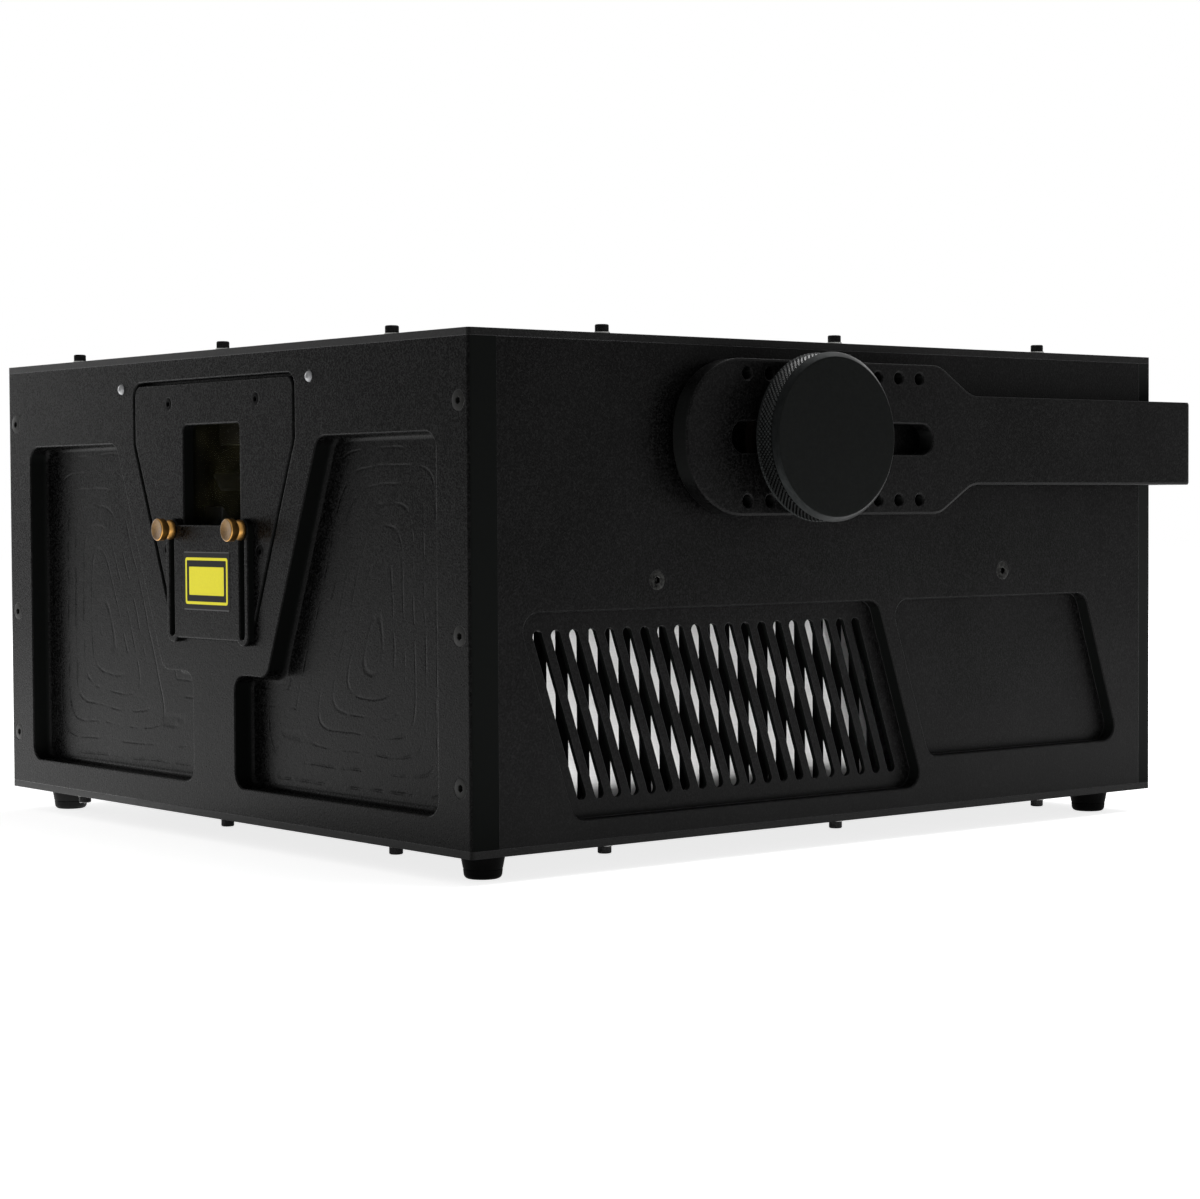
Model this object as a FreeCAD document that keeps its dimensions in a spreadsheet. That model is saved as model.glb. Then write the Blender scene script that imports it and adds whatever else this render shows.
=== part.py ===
import FreeCAD, Part
import operator
import os
import types

import Sketcher
from FreeCAD import Placement, Rotation, Vector

# Laser show projector: a casing of milled plates in a U-shaped yoke.
# +Z is up, the beam leaves towards -Y, and the floor under the feet is Z = 0.
# Lengths are millimetres, angles are degrees.

SIZES = {
    # Casing: six plates and sheets
    "casing_width": 370.0,
    "casing_depth": 392.0,
    "casing_height": 200.0,
    "cover_thickness": 3.0,
    "front_thickness": 13.0,
    "side_thickness": 14.0,
    "rear_thickness": 8.0,
    "edge_round": 1.5,
    "edge_bevel": 0.5,
    # Milled pockets in the front plate, measured from the plate's sides, top and middle
    "front_pocket_side": 21.5,
    "front_pocket_top": 38.5,
    "front_pocket_base": 14.5,
    "front_pocket_depth": 9.0,
    "front_pocket_round": 7.0,
    "pocket_floor_round": 2.5,
    "shield_wall": 16.5,
    "stem_half_width": 17.0,
    "step_below_shield": 15.0,
    # Shield-shaped recess and the cover that fills it
    "shield_below_top": 12.0,
    "shield_half_width": 65.5,
    "shield_foot_half_width": 32.0,
    "shield_shoulder": 27.0,
    "shield_length": 111.0,
    "shield_depth": 5.0,
    "shield_round": 6.0,
    "shield_gap": 1.4,
    # Beam window
    "window_half_width": 23.0,
    "window_below_shield_top": 19.5,
    "window_height": 44.0,
    "window_round": 2.5,
    "window_rebate": 4.0,
    "glass_thickness": 2.0,
    "glass_clearance": 0.2,
    # Sliding mask and its thumbscrews
    "mask_thickness": 3.0,
    "mask_travel": 44.0,
    "mask_slot_width": 3.8,
    "mask_ear_width": 9.6,
    "mask_panel_setback": 2.7,
    "mask_panel_rise": 2.0,
    "thumb_spacing": 57.0,
    "thumb_below_shield_top": 64.5,
    "thumb_shank_diameter": 3.0,
    "thumb_shank_depth": 9.0,
    "thumb_collar_diameter": 9.0,
    "thumb_collar_height": 3.0,
    "thumb_neck_diameter": 6.0,
    "thumb_neck_height": 1.2,
    "thumb_head_diameter": 10.4,
    "thumb_head_height": 3.2,
    "thumb_bevel": 0.5,
    # Status lights
    "led_diameter": 5.0,
    "led_length": 14.0,
    "led_proud": 1.2,
    "led_dome": 2.0,
    "led_spacing": 152.6,
    "led_below_top": 14.2,
    # Screws
    "screw_clearance": 0.05,
    "plate_screw_diameter": 4.0,
    "plate_screw_head": 8.0,
    "plate_screw_length": 25.0,
    "plate_screw_low": 26.5,
    "plate_screw_middle": 84.0,
    "plate_screw_high": 27.2,
    "shield_screw_diameter": 3.0,
    "shield_screw_head": 5.8,
    "shield_screw_length": 9.0,
    "shield_screw_upper_spacing": 71.0,
    "shield_screw_upper_drop": 10.0,
    "shield_screw_lower_spacing": 76.0,
    "shield_screw_lower_rise": 37.5,
    "lid_screw_diameter": 3.0,
    "lid_screw_head": 5.5,
    "lid_screw_head_height": 3.0,
    "lid_screw_depth": 7.5,
    "lid_screw_pitch": 126.0,
    "washer_diameter": 6.4,
    "washer_thickness": 0.8,
    # Feet
    "foot_height": 10.5,
    "foot_top_diameter": 18.0,
    "foot_tip_diameter": 15.0,
    "foot_round": 2.0,
    "foot_side_inset": 20.0,
    "foot_end_inset": 20.0,
    "foot_screw_diameter": 4.0,
    "foot_screw_head": 7.0,
    "foot_screw_head_height": 2.6,
    "foot_screw_seat": 5.0,
    "foot_nut_diameter": 8.0,
    "foot_nut_height": 3.2,
    # Side plates: grille pocket, its slots and the blank pocket
    "side_pocket_depth": 6.0,
    "side_pocket_round": 7.0,
    "side_pocket_rake": 0.34,
    "grille_top": 92.0,
    "grille_base": 11.0,
    "grille_front": 22.5,
    "grille_length": 192.0,
    "grille_web": 2.0,
    "grille_relief_margin": 4.0,
    "grille_slot_width": 4.6,
    "grille_slot_pitch": 8.97,
    "grille_slot_count": 20,
    "grille_slot_margin": 7.0,
    "pocket_wall": 8.0,
    "blank_base": 24.0,
    "blank_rear_margin": 22.4,
    # Yoke
    "pivot_from_front": 162.0,
    "pivot_below_top": 40.0,
    "yoke_gap": 4.0,
    "yoke_thickness": 8.0,
    "yoke_bend": 3.0,
    "yoke_inner_bend": 1.5,
    "yoke_head_half_height": 31.5,
    "yoke_arm_half_height": 19.0,
    "yoke_head_front": 65.0,
    "yoke_head_round": 30.0,
    "yoke_taper_start": 78.0,
    "yoke_taper_length": 20.0,
    "yoke_taper_round": 14.0,
    "yoke_swing_clearance": 3.5,
    "yoke_slot_length": 101.5,
    "yoke_slot_shift": 16.5,
    "yoke_slot_clearance": 0.5,
    "index_hole_diameter": 5.0,
    "index_hole_pitch": 12.25,
    "index_hole_row": 25.5,
    "index_hole_count": 9,
    "clamp_hole_diameter": 13.0,
    "clamp_hole_spacing": 200.0,
    "bush_diameter": 20.0,
    # Pivots and knobs
    "stud_diameter": 12.0,
    "stud_flange_diameter": 26.0,
    "stud_flange_height": 5.0,
    "running_clearance": 0.05,
    "friction_disc_diameter": 46.0,
    "clamp_washer_diameter": 40.0,
    "clamp_washer_thickness": 3.0,
    "knob_diameter": 68.5,
    "knob_thickness": 12.0,
    "knob_bevel": 3.0,
    "knob_back_bevel": 1.0,
    "knob_hub_diameter": 38.0,
    "knob_hub_height": 3.0,
    "knob_thread_depth": 11.0,
    # Optical bench and heat sink
    "bench_level": 103.3,
    "bench_thickness": 12.0,
    "bench_length": 296.0,
    "bench_clearance": 0.1,
    "bench_screw_first": 92.0,
    "bench_screw_spacing": 200.0,
    "sink_base_thickness": 8.0,
    "sink_front": 36.0,
    "sink_width": 330.0,
    "fin_height": 77.0,
    "fin_thickness": 4.4,
    "fin_pitch": 10.7,
    "fin_count": 18,
    "fin_end_margin": 5.0,
    "fan_bay_width": 32.0,
    # Fans
    "fan_size": 80.0,
    "fan_depth": 25.0,
    "fan_bore": 76.0,
    "fan_corner_round": 4.0,
    "fan_gap": 2.0,
    "fan_hub_diameter": 34.0,
    "fan_spider_thickness": 4.0,
    "fan_strut_width": 5.0,
    "fan_hub_length": 17.0,
    "fan_hub_gap": 1.0,
    "fan_blade_reach": 36.5,
    "fan_blade_thickness": 1.6,
    "fan_blade_length": 16.0,
    "fan_blade_count": 7,
    "fan_shaft_diameter": 3.0,
    # Optics on the bench
    "beam_height": 16.0,
    "beam_line": 29.0,
    "laser_first": 110.0,
    "laser_pitch": 60.0,
    "laser_start": 50.0,
    "laser_length": 92.0,
    "laser_width": 46.0,
    "laser_height": 42.0,
    "laser_round": 3.0,
    "laser_flange": 5.0,
    "laser_flange_thickness": 4.0,
    "laser_nozzle_diameter": 12.0,
    "laser_nozzle_length": 5.0,
    "mirror_side": 16.0,
    "mirror_thickness": 2.0,
    "mirror_mount_thickness": 7.0,
    "mirror_mount_foot": 22.0,
    "mirror_mount_foot_height": 4.0,
    "fold_mirror_side": 24.0,
    "fold_mirror_width": 16.0,
    # Scanner
    "scan_from_front": 26.0,
    "scan_below_window_top": 24.5,
    "galvo_diameter": 20.0,
    "galvo_length": 34.0,
    "galvo_nose_diameter": 9.0,
    "galvo_nose_length": 4.0,
    "galvo_shaft_diameter": 4.0,
    "galvo_standoff": 16.0,
    "galvo_mirror_width": 9.0,
    "galvo_mirror_length": 13.0,
    "galvo_mirror_thickness": 1.5,
    "galvo_clamp_diameter": 7.5,
    "galvo_clamp_length": 4.0,
    "scanner_wall": 6.0,
    "scanner_lip": 2.0,
    "scanner_cheek": 5.0,
    "scanner_post_depth": 24.0,
    "beam_tunnel": 10.0,
    # Shutter
    "shutter_from_front": 86.0,
    "shutter_offset": 25.0,
    "shutter_motor_side": 22.0,
    "shutter_motor_length": 20.0,
    "shutter_shaft_diameter": 3.0,
    "shutter_shaft_length": 6.0,
    "shutter_flag_reach": 33.0,
    "shutter_flag_height": 12.0,
    "shutter_flag_thickness": 1.5,
    # Boards and supply
    "board_thickness": 1.6,
    "board_standoff": 8.0,
    "board_standoff_diameter": 6.0,
    "board_corner_inset": 5.0,
    "board_side": 160.0,
    "driver_front": 60.0,
    "driver_width": 76.0,
    "driver_length": 104.0,
    "control_front": 184.0,
    "control_width": 100.0,
    "control_length": 108.0,
    "chip_width": 14.0,
    "chip_length": 18.0,
    "chip_height": 6.0,
    "supply_front": 243.0,
    "supply_width": 200.0,
    "supply_length": 98.0,
    "supply_height": 45.0,
    "supply_terminal_width": 24.0,
    "supply_terminal_depth": 20.0,
    "laser_driver_start": 112.0,
    "laser_driver_width": 50.0,
    "laser_driver_height": 40.0,
    # Rear panel
    "panel_row": 66.0,
    "panel_low_row": 30.0,
    "socket_flange_width": 26.0,
    "socket_flange_height": 31.0,
    "socket_flange_thickness": 2.5,
    "socket_flange_round": 3.0,
    "socket_barrel": 23.6,
    "socket_barrel_length": 26.0,
    "socket_bore": 18.0,
    "socket_bore_depth": 14.0,
    "socket_fit": 0.1,
    "inlet_place": -150.0,
    "outlet_place": -114.0,
    "fuse_place": -80.0,
    "key_place": -48.0,
    "interlock_place": 0.0,
    "network_place": 40.0,
    "control_place": 100.0,
    "control_pitch": 40.0,
    "signal_place": 100.0,
    "signal_width": 53.0,
    "signal_height": 12.5,
    "signal_shell_width": 40.0,
    "signal_shell_height": 9.0,
    "signal_shell_proud": 6.0,
    "signal_body_depth": 10.0,
    "fuse_diameter": 12.0,
    "fuse_cap_diameter": 15.0,
    "fuse_cap_height": 8.0,
    "fuse_length": 28.0,
    "key_barrel": 16.0,
    "key_ring_diameter": 21.0,
    "key_ring_height": 3.0,
    "key_length": 30.0,
    "key_blade": 6.0,
    "key_blade_thickness": 2.0,
    "key_blade_depth": 12.0,
    "key_bow": 9.0,
    "key_bow_height": 20.0,
}


class Size:
    """A length, angle or count: its value, and the formula that ties it to the sheet of sizes."""

    def __init__(self, value, formula):
        self.value = value
        self.formula = formula

    def __add__(self, other):
        return joined(self, "+", other)

    def __radd__(self, other):
        return joined(other, "+", self)

    def __sub__(self, other):
        return joined(self, "-", other)

    def __rsub__(self, other):
        return joined(other, "-", self)

    def __mul__(self, other):
        return joined(self, "*", other)

    def __rmul__(self, other):
        return joined(other, "*", self)

    def __truediv__(self, other):
        return joined(self, "/", other)

    def __neg__(self):
        return joined(0, "-", self)


OPERATIONS = {"+": operator.add, "-": operator.sub, "*": operator.mul, "/": operator.truediv}


def as_size(number):
    """Gives a plain number the form of a size."""
    return number if isinstance(number, Size) else Size(number, str(number))


def joined(first, sign, second):
    """Works out one step of arithmetic on sizes and writes the matching formula."""
    first, second = as_size(first), as_size(second)
    value = OPERATIONS[sign](first.value, second.value)
    return Size(value, f"({first.formula} {sign} {second.formula})")


def hypotenuse(first, second):
    """Long side of a right triangle."""
    value = (first.value ** 2 + second.value ** 2) ** 0.5
    return Size(value, f"sqrt({first.formula}^2 + {second.formula}^2)")


doc = FreeCAD.newDocument("laser_projector")
sheet = doc.addObject("Spreadsheet::Sheet", "Sizes")
for row, (alias, number) in enumerate(SIZES.items(), start=1):
    sheet.set(f"A{row}", alias)
    sheet.set(f"B{row}", str(number))
    sheet.setAlias(f"B{row}", alias)
doc.recompute()
size = types.SimpleNamespace(**{alias: Size(number, f"Sizes.{alias}") for alias, number in SIZES.items()})


# A drawing plane's name in a body, and which way its normal points along the world axis
PLANES = {"XY": ("XY_Plane", 1), "XZ": ("XZ_Plane", -1), "YZ": ("YZ_Plane", 1)}
# For each axis, the numbers of the other two coordinates
ACROSS = {"X": (1, 2), "Y": (0, 2), "Z": (0, 1)}
ALONG = {"X": 0, "Y": 1, "Z": 2}
CLOSE = 0.01


class Drawing:
    """A sketch on a plane square to one axis, with its corners tied to sizes."""

    def __init__(self, body, plane, level):
        role, self.normal = PLANES[plane]
        self.sketch = body.newObject("Sketcher::SketchObject", f"{body.Label}_sketch")
        origin_plane = next(item for item in body.Origin.OriginFeatures if item.Role == role)
        self.sketch.AttachmentSupport = [(origin_plane, "")]
        self.sketch.MapMode = "FlatFace"
        offset = as_size(level) * self.normal
        self.sketch.setExpression("AttachmentOffset.Base.z", offset.formula)

    def _bind(self, constraint, value):
        """Adds one measured constraint and ties it to its size."""
        value = as_size(value)
        index = self.sketch.addConstraint(Sketcher.Constraint(*constraint, value.value))
        self.sketch.setExpression(f"Constraints[{index}]", value.formula)

    def _pin(self, item, point, spot):
        """Fixes a point of a line or circle at a spot."""
        self._bind(("DistanceX", -1, 1, item, point), spot[0])
        self._bind(("DistanceY", -1, 1, item, point), spot[1])

    def polygon(self, corners):
        """Closed outline of straight sides."""
        spots = [Vector(as_size(u).value, as_size(v).value, 0) for u, v in corners]
        count = len(corners)
        lines = [self.sketch.addGeometry(Part.LineSegment(spots[i], spots[(i + 1) % count]))
                 for i in range(count)]
        for i, line in enumerate(lines):
            following = lines[(i + 1) % count]
            self.sketch.addConstraint(Sketcher.Constraint("Coincident", line, 2, following, 1))
            self._pin(line, 1, corners[i])
        return self

    def rectangle(self, low, high):
        """Outline of a rectangle between two opposite corners."""
        return self.polygon([low, (high[0], low[1]), high, (low[0], high[1])])

    def block(self, centre, width, height):
        """Outline of a rectangle about its centre."""
        u, v = as_size(centre[0]), as_size(centre[1])
        return self.rectangle((u - width / 2, v - height / 2), (u + width / 2, v + height / 2))

    def circles(self, centres, diameter):
        """Circles of one diameter at several centres."""
        for u, v in centres:
            middle = Vector(as_size(u).value, as_size(v).value, 0)
            circle = Part.Circle(middle, Vector(0, 0, 1), as_size(diameter).value / 2)
            item = self.sketch.addGeometry(circle)
            self._pin(item, 3, (u, v))
            self._bind(("Diameter", item), diameter)
        return self

    def slot(self, first, second, width):
        """Long hole with full round ends, between the centres of its two ends."""
        ends = [Vector(as_size(u).value, as_size(v).value, 0) for u, v in (first, second)]
        radius = width / 2
        along = (ends[1] - ends[0]).normalize()
        side = Vector(-along.y, along.x, 0) * radius.value
        reach = along * radius.value
        low = Part.Arc(ends[0] + side, ends[0] - reach, ends[0] - side)
        high = Part.Arc(ends[1] - side, ends[1] + reach, ends[1] + side)
        low = self.sketch.addGeometry(low)
        right = self.sketch.addGeometry(Part.LineSegment(ends[0] - side, ends[1] - side))
        high = self.sketch.addGeometry(high)
        left = self.sketch.addGeometry(Part.LineSegment(ends[1] + side, ends[0] + side))
        for arc, arc_end, line, line_end in ((low, 2, right, 1), (high, 1, right, 2),
                                             (high, 2, left, 1), (low, 1, left, 2)):
            self.sketch.addConstraint(Sketcher.Constraint("Tangent", arc, arc_end, line, line_end))
        self._pin(low, 3, first)
        self._pin(high, 3, second)
        self._bind(("Radius", low), radius)
        return self


class Piece:
    """A sub-part: a body built by padding, cutting, turning and rounding drawings."""

    def __init__(self, label):
        self.body = doc.addObject("PartDesign::Body", label)
        self.body.Label = label
        self.body.AllowCompound = True

    def draw(self, plane, level=0):
        """Starts a drawing at a level along the plane's own axis."""
        return Drawing(self.body, plane, level)

    def _feature(self, kind):
        """Adds a feature of a kind to the end of the body."""
        feature = self.body.newObject(f"PartDesign::{kind}", f"{self.body.Label}_{kind}")
        self.body.Tip = feature
        return feature

    def pad(self, drawing, length, direction=1, taper=None):
        """Thickens a drawing up or down its axis."""
        feature = self._feature("Pad")
        feature.Profile = drawing.sketch
        feature.Reversed = direction * drawing.normal < 0
        feature.setExpression("Length", as_size(length).formula)
        if taper is not None:
            feature.setExpression("TaperAngle", as_size(taper).formula)
        return feature

    def cut(self, drawing, depth=None, direction=1, taper=None):
        """Cuts a drawing to a depth, or both ways right through."""
        doc.recompute()
        before = self.body.Shape.Volume
        feature = self._feature("Pocket")
        feature.Profile = drawing.sketch
        if depth is None:
            feature.Type = "ThroughAll"
            feature.Midplane = True
        else:
            feature.Reversed = direction * drawing.normal > 0
            feature.setExpression("Length", as_size(depth).formula)
        if taper is not None:
            feature.setExpression("TaperAngle", as_size(taper).formula)
        doc.recompute()
        if self.body.Shape.Volume >= before:
            raise ValueError(f"{self.body.Label}: a cut removed nothing")
        return feature

    def turn(self, profile):
        """Turns a profile of (radius, height) points about the body's own Z axis."""
        drawing = self.draw("XZ").polygon(profile)
        feature = self._feature("Revolution")
        feature.Profile = drawing.sketch
        feature.ReferenceAxis = (drawing.sketch, ["V_Axis"])
        feature.Angle = 360
        return feature

    def edges(self, axis, spots):
        """Names of the straight edges along an axis that pass through spots on the other two."""
        doc.recompute()
        first, second = ACROSS[axis]
        wanted = [(as_size(u).value, as_size(v).value) for u, v in spots]
        names = []
        for number, edge in enumerate(self.body.Shape.Edges, start=1):
            start, end = edge.Vertexes[0].Point, edge.Vertexes[-1].Point
            if any(abs(start[i] - end[i]) > CLOSE for i in (first, second)):
                continue
            if any(abs(start[first] - u) < CLOSE and abs(start[second] - v) < CLOSE for u, v in wanted):
                names.append(f"Edge{number}")
        return names

    def edges_at(self, axis, level, within=None, along="X"):
        """Names of the edges that lie wholly at a level along an axis, inside a range along another one."""
        doc.recompute()
        i, j = ALONG[axis], ALONG[along]
        names = []
        for number, edge in enumerate(self.body.Shape.Edges, start=1):
            box = edge.BoundBox
            low = (box.XMin, box.YMin, box.ZMin)
            high = (box.XMax, box.YMax, box.ZMax)
            flat = abs(low[i] - level.value) < CLOSE and abs(high[i] - level.value) < CLOSE
            if flat and (within is None or within[0].value < low[j] and high[j] < within[1].value):
                names.append(f"Edge{number}")
        return names

    def soften(self, names, radius, kind="Fillet"):
        """Rounds or bevels named edges."""
        base = self.body.Tip
        feature = self._feature(kind)
        feature.Base = (base, names)
        feature.setExpression("Radius" if kind == "Fillet" else "Size", as_size(radius).formula)
        return feature

    def repeat(self, feature, axis, spacing, count):
        """Repeats a feature in a row along one of the body's axes."""
        pattern = self._feature("LinearPattern")
        pattern.Originals = [feature]
        direction = next(item for item in self.body.Origin.OriginFeatures if item.Role == f"{axis}_Axis")
        pattern.Direction = (direction, [""])
        pattern.setExpression("Length", (spacing * (count - 1)).formula)
        pattern.setExpression("Occurrences", count.formula)
        self.body.Tip = pattern
        return pattern

    def repeat_round(self, feature, count):
        """Repeats a feature evenly round the body's own Z axis."""
        pattern = self._feature("PolarPattern")
        pattern.Originals = [feature]
        axis = next(item for item in self.body.Origin.OriginFeatures if item.Role == "Z_Axis")
        pattern.Axis = (axis, [""])
        pattern.Angle = 360
        pattern.setExpression("Occurrences", count.formula)
        self.body.Tip = pattern
        return pattern

    def place(self, spot, rotation=Rotation()):
        """Moves the finished body to its place in the projector."""
        self.body.Placement = Placement(Vector(), rotation)
        for name, value in zip("xyz", spot):
            self.body.setExpression(f"Placement.Base.{name}", as_size(value).formula)
        return self


# Turns the body's own Z axis to point along -Y, +Y, +X, -X or -Z
FORWARD = Rotation(Vector(1, 0, 0), 90)
BACKWARD = Rotation(Vector(1, 0, 0), -90)
RIGHTWARD = Rotation(Vector(0, 1, 0), 90)
LEFTWARD = Rotation(Vector(0, 1, 0), -90)
DOWNWARD = Rotation(Vector(1, 0, 0), 180)
OUTWARD = {1: RIGHTWARD, -1: LEFTWARD}
SIDE_NAMES = {1: "right", -1: "left"}
COUNTERSINK = -45
DIAGONAL = 45

# Levels and lines that several sub-parts share
half_width = size.casing_width / 2
inner_half_width = half_width - size.side_thickness
floor = size.foot_height
roof = floor + size.casing_height
plate_low = floor + size.cover_thickness
plate_high = roof - size.cover_thickness
pivot_z = roof - size.pivot_below_top
behind_pivot = size.casing_depth - size.pivot_from_front
yoke_reach = hypotenuse(behind_pivot, size.pivot_below_top) + size.yoke_swing_clearance
thumb_height = size.thumb_collar_height + size.thumb_neck_height + size.thumb_head_height
thumb_reach = size.mask_thickness + thumb_height
yoke_depth = size.pivot_from_front + yoke_reach + size.yoke_thickness
# The projector is centred between the thumbscrew heads and the back of the yoke
front = (thumb_reach - yoke_depth) / 2
rear = front + size.casing_depth
front_inner = front + size.front_thickness
rear_inner = rear - size.rear_thickness
pivot_y = front + size.pivot_from_front
yoke_back = front + yoke_depth
casing_middle = (front + rear) / 2

shield_top = roof - size.shield_below_top
shield_foot = shield_top - size.shield_length
shield_back = front + size.shield_depth
window_top = shield_top - size.window_below_shield_top
window_base = window_top - size.window_height
thumb_x = size.thumb_spacing / 2
thumb_z = shield_top - size.thumb_below_shield_top

bench_z = floor + size.bench_level
bench_top = bench_z + size.bench_thickness / 2
bench_base = bench_z - size.bench_thickness / 2
beam_z = bench_top + size.beam_height
beam_x = -size.beam_line
scan_y = front + size.scan_from_front
scan_z = window_top - size.scan_below_window_top

plate_screw_levels = [floor + size.plate_screw_low, floor + size.plate_screw_middle,
                      roof - size.plate_screw_high]
plate_screw_x = half_width - size.side_thickness / 2
plate_screw_spots = [(side * plate_screw_x, level) for side in (-1, 1) for level in plate_screw_levels]
plate_screw_hole = size.plate_screw_diameter + 2 * size.screw_clearance
plate_screw_sink = size.plate_screw_head + 2 * size.screw_clearance
plate_screw_sink_depth = (size.plate_screw_head - size.plate_screw_diameter) / 2
shield_screw_hole = size.shield_screw_diameter + 2 * size.screw_clearance
shield_screw_sink = size.shield_screw_head + 2 * size.screw_clearance
shield_screw_sink_depth = (size.shield_screw_head - size.shield_screw_diameter) / 2
lid_screw_hole = size.lid_screw_diameter + 2 * size.screw_clearance

steps = (-1, 0, 1)
front_lid_spots = [(i * size.lid_screw_pitch, front + size.front_thickness / 2) for i in steps]
rear_lid_spots = [(i * size.lid_screw_pitch, rear - size.rear_thickness / 2) for i in steps]
side_lid_spots = {side: [(side * plate_screw_x, casing_middle + i * size.lid_screw_pitch) for i in steps]
                  for side in (-1, 1)}
lid_spots = front_lid_spots + rear_lid_spots + side_lid_spots[-1] + side_lid_spots[1]
foot_spots = [(x, y) for x in (-half_width + size.foot_side_inset, half_width - size.foot_side_inset)
              for y in (front + size.foot_end_inset, rear - size.foot_end_inset)]
shield_screw_levels = [(size.shield_screw_upper_spacing, shield_top - size.shield_screw_upper_drop),
                       (size.shield_screw_lower_spacing, shield_foot + size.shield_screw_lower_rise)]
shield_screw_spots = [(side * spacing / 2, level) for side in (-1, 1) for spacing, level in shield_screw_levels]
thumb_spots = [(side * thumb_x, thumb_z) for side in (-1, 1)]
bench_screw_lines = [front + size.bench_screw_first,
                     front + size.bench_screw_first + size.bench_screw_spacing]


def drill_lid_holes(piece, spots):
    """Tapped holes for the cover screws, in a plate's top and bottom edges."""
    piece.cut(piece.draw("XY", plate_high).circles(spots, lid_screw_hole), size.lid_screw_depth, -1)
    piece.cut(piece.draw("XY", plate_low).circles(spots, lid_screw_hole), size.lid_screw_depth, 1)


def shield_outline(margin):
    """Corners of the shield, drawn in by a margin."""
    wide = size.shield_half_width - margin
    narrow = size.shield_foot_half_width - margin
    top, foot = shield_top - margin, shield_foot + margin
    shoulder = shield_top - size.shield_shoulder
    return [(wide, top), (-wide, top), (-wide, shoulder), (-narrow, foot), (narrow, foot), (wide, shoulder)]


def front_plate():
    """Thick front plate with a milled pocket each side and a shield-shaped recess."""
    piece = Piece("front_plate")
    plate = piece.draw("XZ", front).rectangle((-half_width, plate_low), (half_width, plate_high))
    piece.pad(plate, size.front_thickness)
    outer = half_width - size.front_pocket_side
    top, base = roof - size.front_pocket_top, floor + size.front_pocket_base
    step = shield_foot - size.step_below_shield
    narrowing = size.shield_half_width - size.shield_foot_half_width
    slope = narrowing / (size.shield_length - size.shield_shoulder)
    inner_top = size.shield_half_width + size.shield_wall
    inner_step = inner_top - slope * (top - step)
    floor_level = front + size.front_pocket_depth
    for side in (-1, 1):
        corners = [(side * outer, top), (side * inner_top, top), (side * inner_step, step),
                   (side * size.stem_half_width, step), (side * size.stem_half_width, base),
                   (side * outer, base)]
        piece.cut(piece.draw("XZ", front).polygon(corners), size.front_pocket_depth)
        piece.soften(piece.edges("Y", corners), size.front_pocket_round)
        ends = sorted((side * size.stem_half_width - side, side * half_width), key=lambda end: end.value)
        piece.soften(piece.edges_at("Y", floor_level, ends), size.pocket_floor_round)
    recess = shield_outline(as_size(0))
    piece.cut(piece.draw("XZ", front).polygon(recess), size.shield_depth)
    piece.soften(piece.edges("Y", recess), size.shield_round)
    mouths = piece.edges_at("Y", front, (size.edge_round - half_width, half_width - size.edge_round))
    piece.soften(mouths, size.edge_bevel, "Chamfer")
    opening = size.window_half_width + size.window_rebate
    low, high = window_base - size.window_rebate, window_top + size.window_rebate
    piece.cut(piece.draw("XZ", front).rectangle((-opening, low), (opening, high)))
    piece.cut(piece.draw("XZ", front).circles(plate_screw_spots, plate_screw_hole))
    sinks = piece.draw("XZ", front).circles(plate_screw_spots, plate_screw_sink)
    piece.cut(sinks, plate_screw_sink_depth, taper=COUNTERSINK)
    shield_holes = piece.draw("XZ", front).circles(shield_screw_spots, shield_screw_hole)
    piece.cut(shield_holes, size.shield_screw_length)
    thumb_hole = size.thumb_shank_diameter + 2 * size.screw_clearance
    piece.cut(piece.draw("XZ", front).circles(thumb_spots, thumb_hole), size.thumb_shank_depth)
    piece.cut(piece.draw("XZ", front).circles(led_spots(), size.led_diameter + 2 * size.screw_clearance))
    drill_lid_holes(piece, front_lid_spots)
    corners = [(-half_width, front), (half_width, front)]
    piece.soften(piece.edges("Z", corners), size.edge_round)
    return piece.body


def led_spots():
    """Centres of the two status lights."""
    return [(side * size.led_spacing / 2, roof - size.led_below_top) for side in (-1, 1)]


def status_leds():
    """Two lights whose domed lenses stand a little proud of the front."""
    piece = Piece("status_leds")
    tip = front - size.led_proud
    piece.pad(piece.draw("XZ", tip).circles(led_spots(), size.led_diameter), size.led_length)
    piece.soften(piece.edges_at("Y", tip), size.led_dome)
    return piece.body


def aperture_cover():
    """Shield-shaped cover, flush with the front, with the beam window in it."""
    piece = Piece("aperture_cover")
    outline = shield_outline(size.shield_gap)
    piece.pad(piece.draw("XZ", front).polygon(outline), size.shield_depth)
    piece.soften(piece.edges("Y", outline), size.shield_round - size.shield_gap)
    half = size.window_half_width
    window = [(-half, window_base), (half, window_base), (half, window_top), (-half, window_top)]
    piece.cut(piece.draw("XZ", front).polygon(window))
    piece.soften(piece.edges("Y", window), size.window_round)
    piece.soften(piece.edges_at("Y", front), size.edge_bevel, "Chamfer")
    piece.cut(piece.draw("XZ", front).circles(shield_screw_spots, shield_screw_hole))
    sinks = piece.draw("XZ", front).circles(shield_screw_spots, shield_screw_sink)
    piece.cut(sinks, shield_screw_sink_depth, taper=COUNTERSINK)
    thumb_hole = size.thumb_shank_diameter + 2 * size.screw_clearance
    piece.cut(piece.draw("XZ", front).circles(thumb_spots, thumb_hole))
    return piece.body


def aperture_glass():
    """Window pane that the cover holds in the front plate's opening."""
    piece = Piece("aperture_glass")
    margin = size.window_rebate - size.glass_clearance
    half = size.window_half_width + margin
    low, high = window_base - margin, window_top + margin
    pane = piece.draw("XZ", shield_back).rectangle((-half, low), (half, high))
    piece.pad(pane, size.glass_thickness)
    return piece.body


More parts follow.
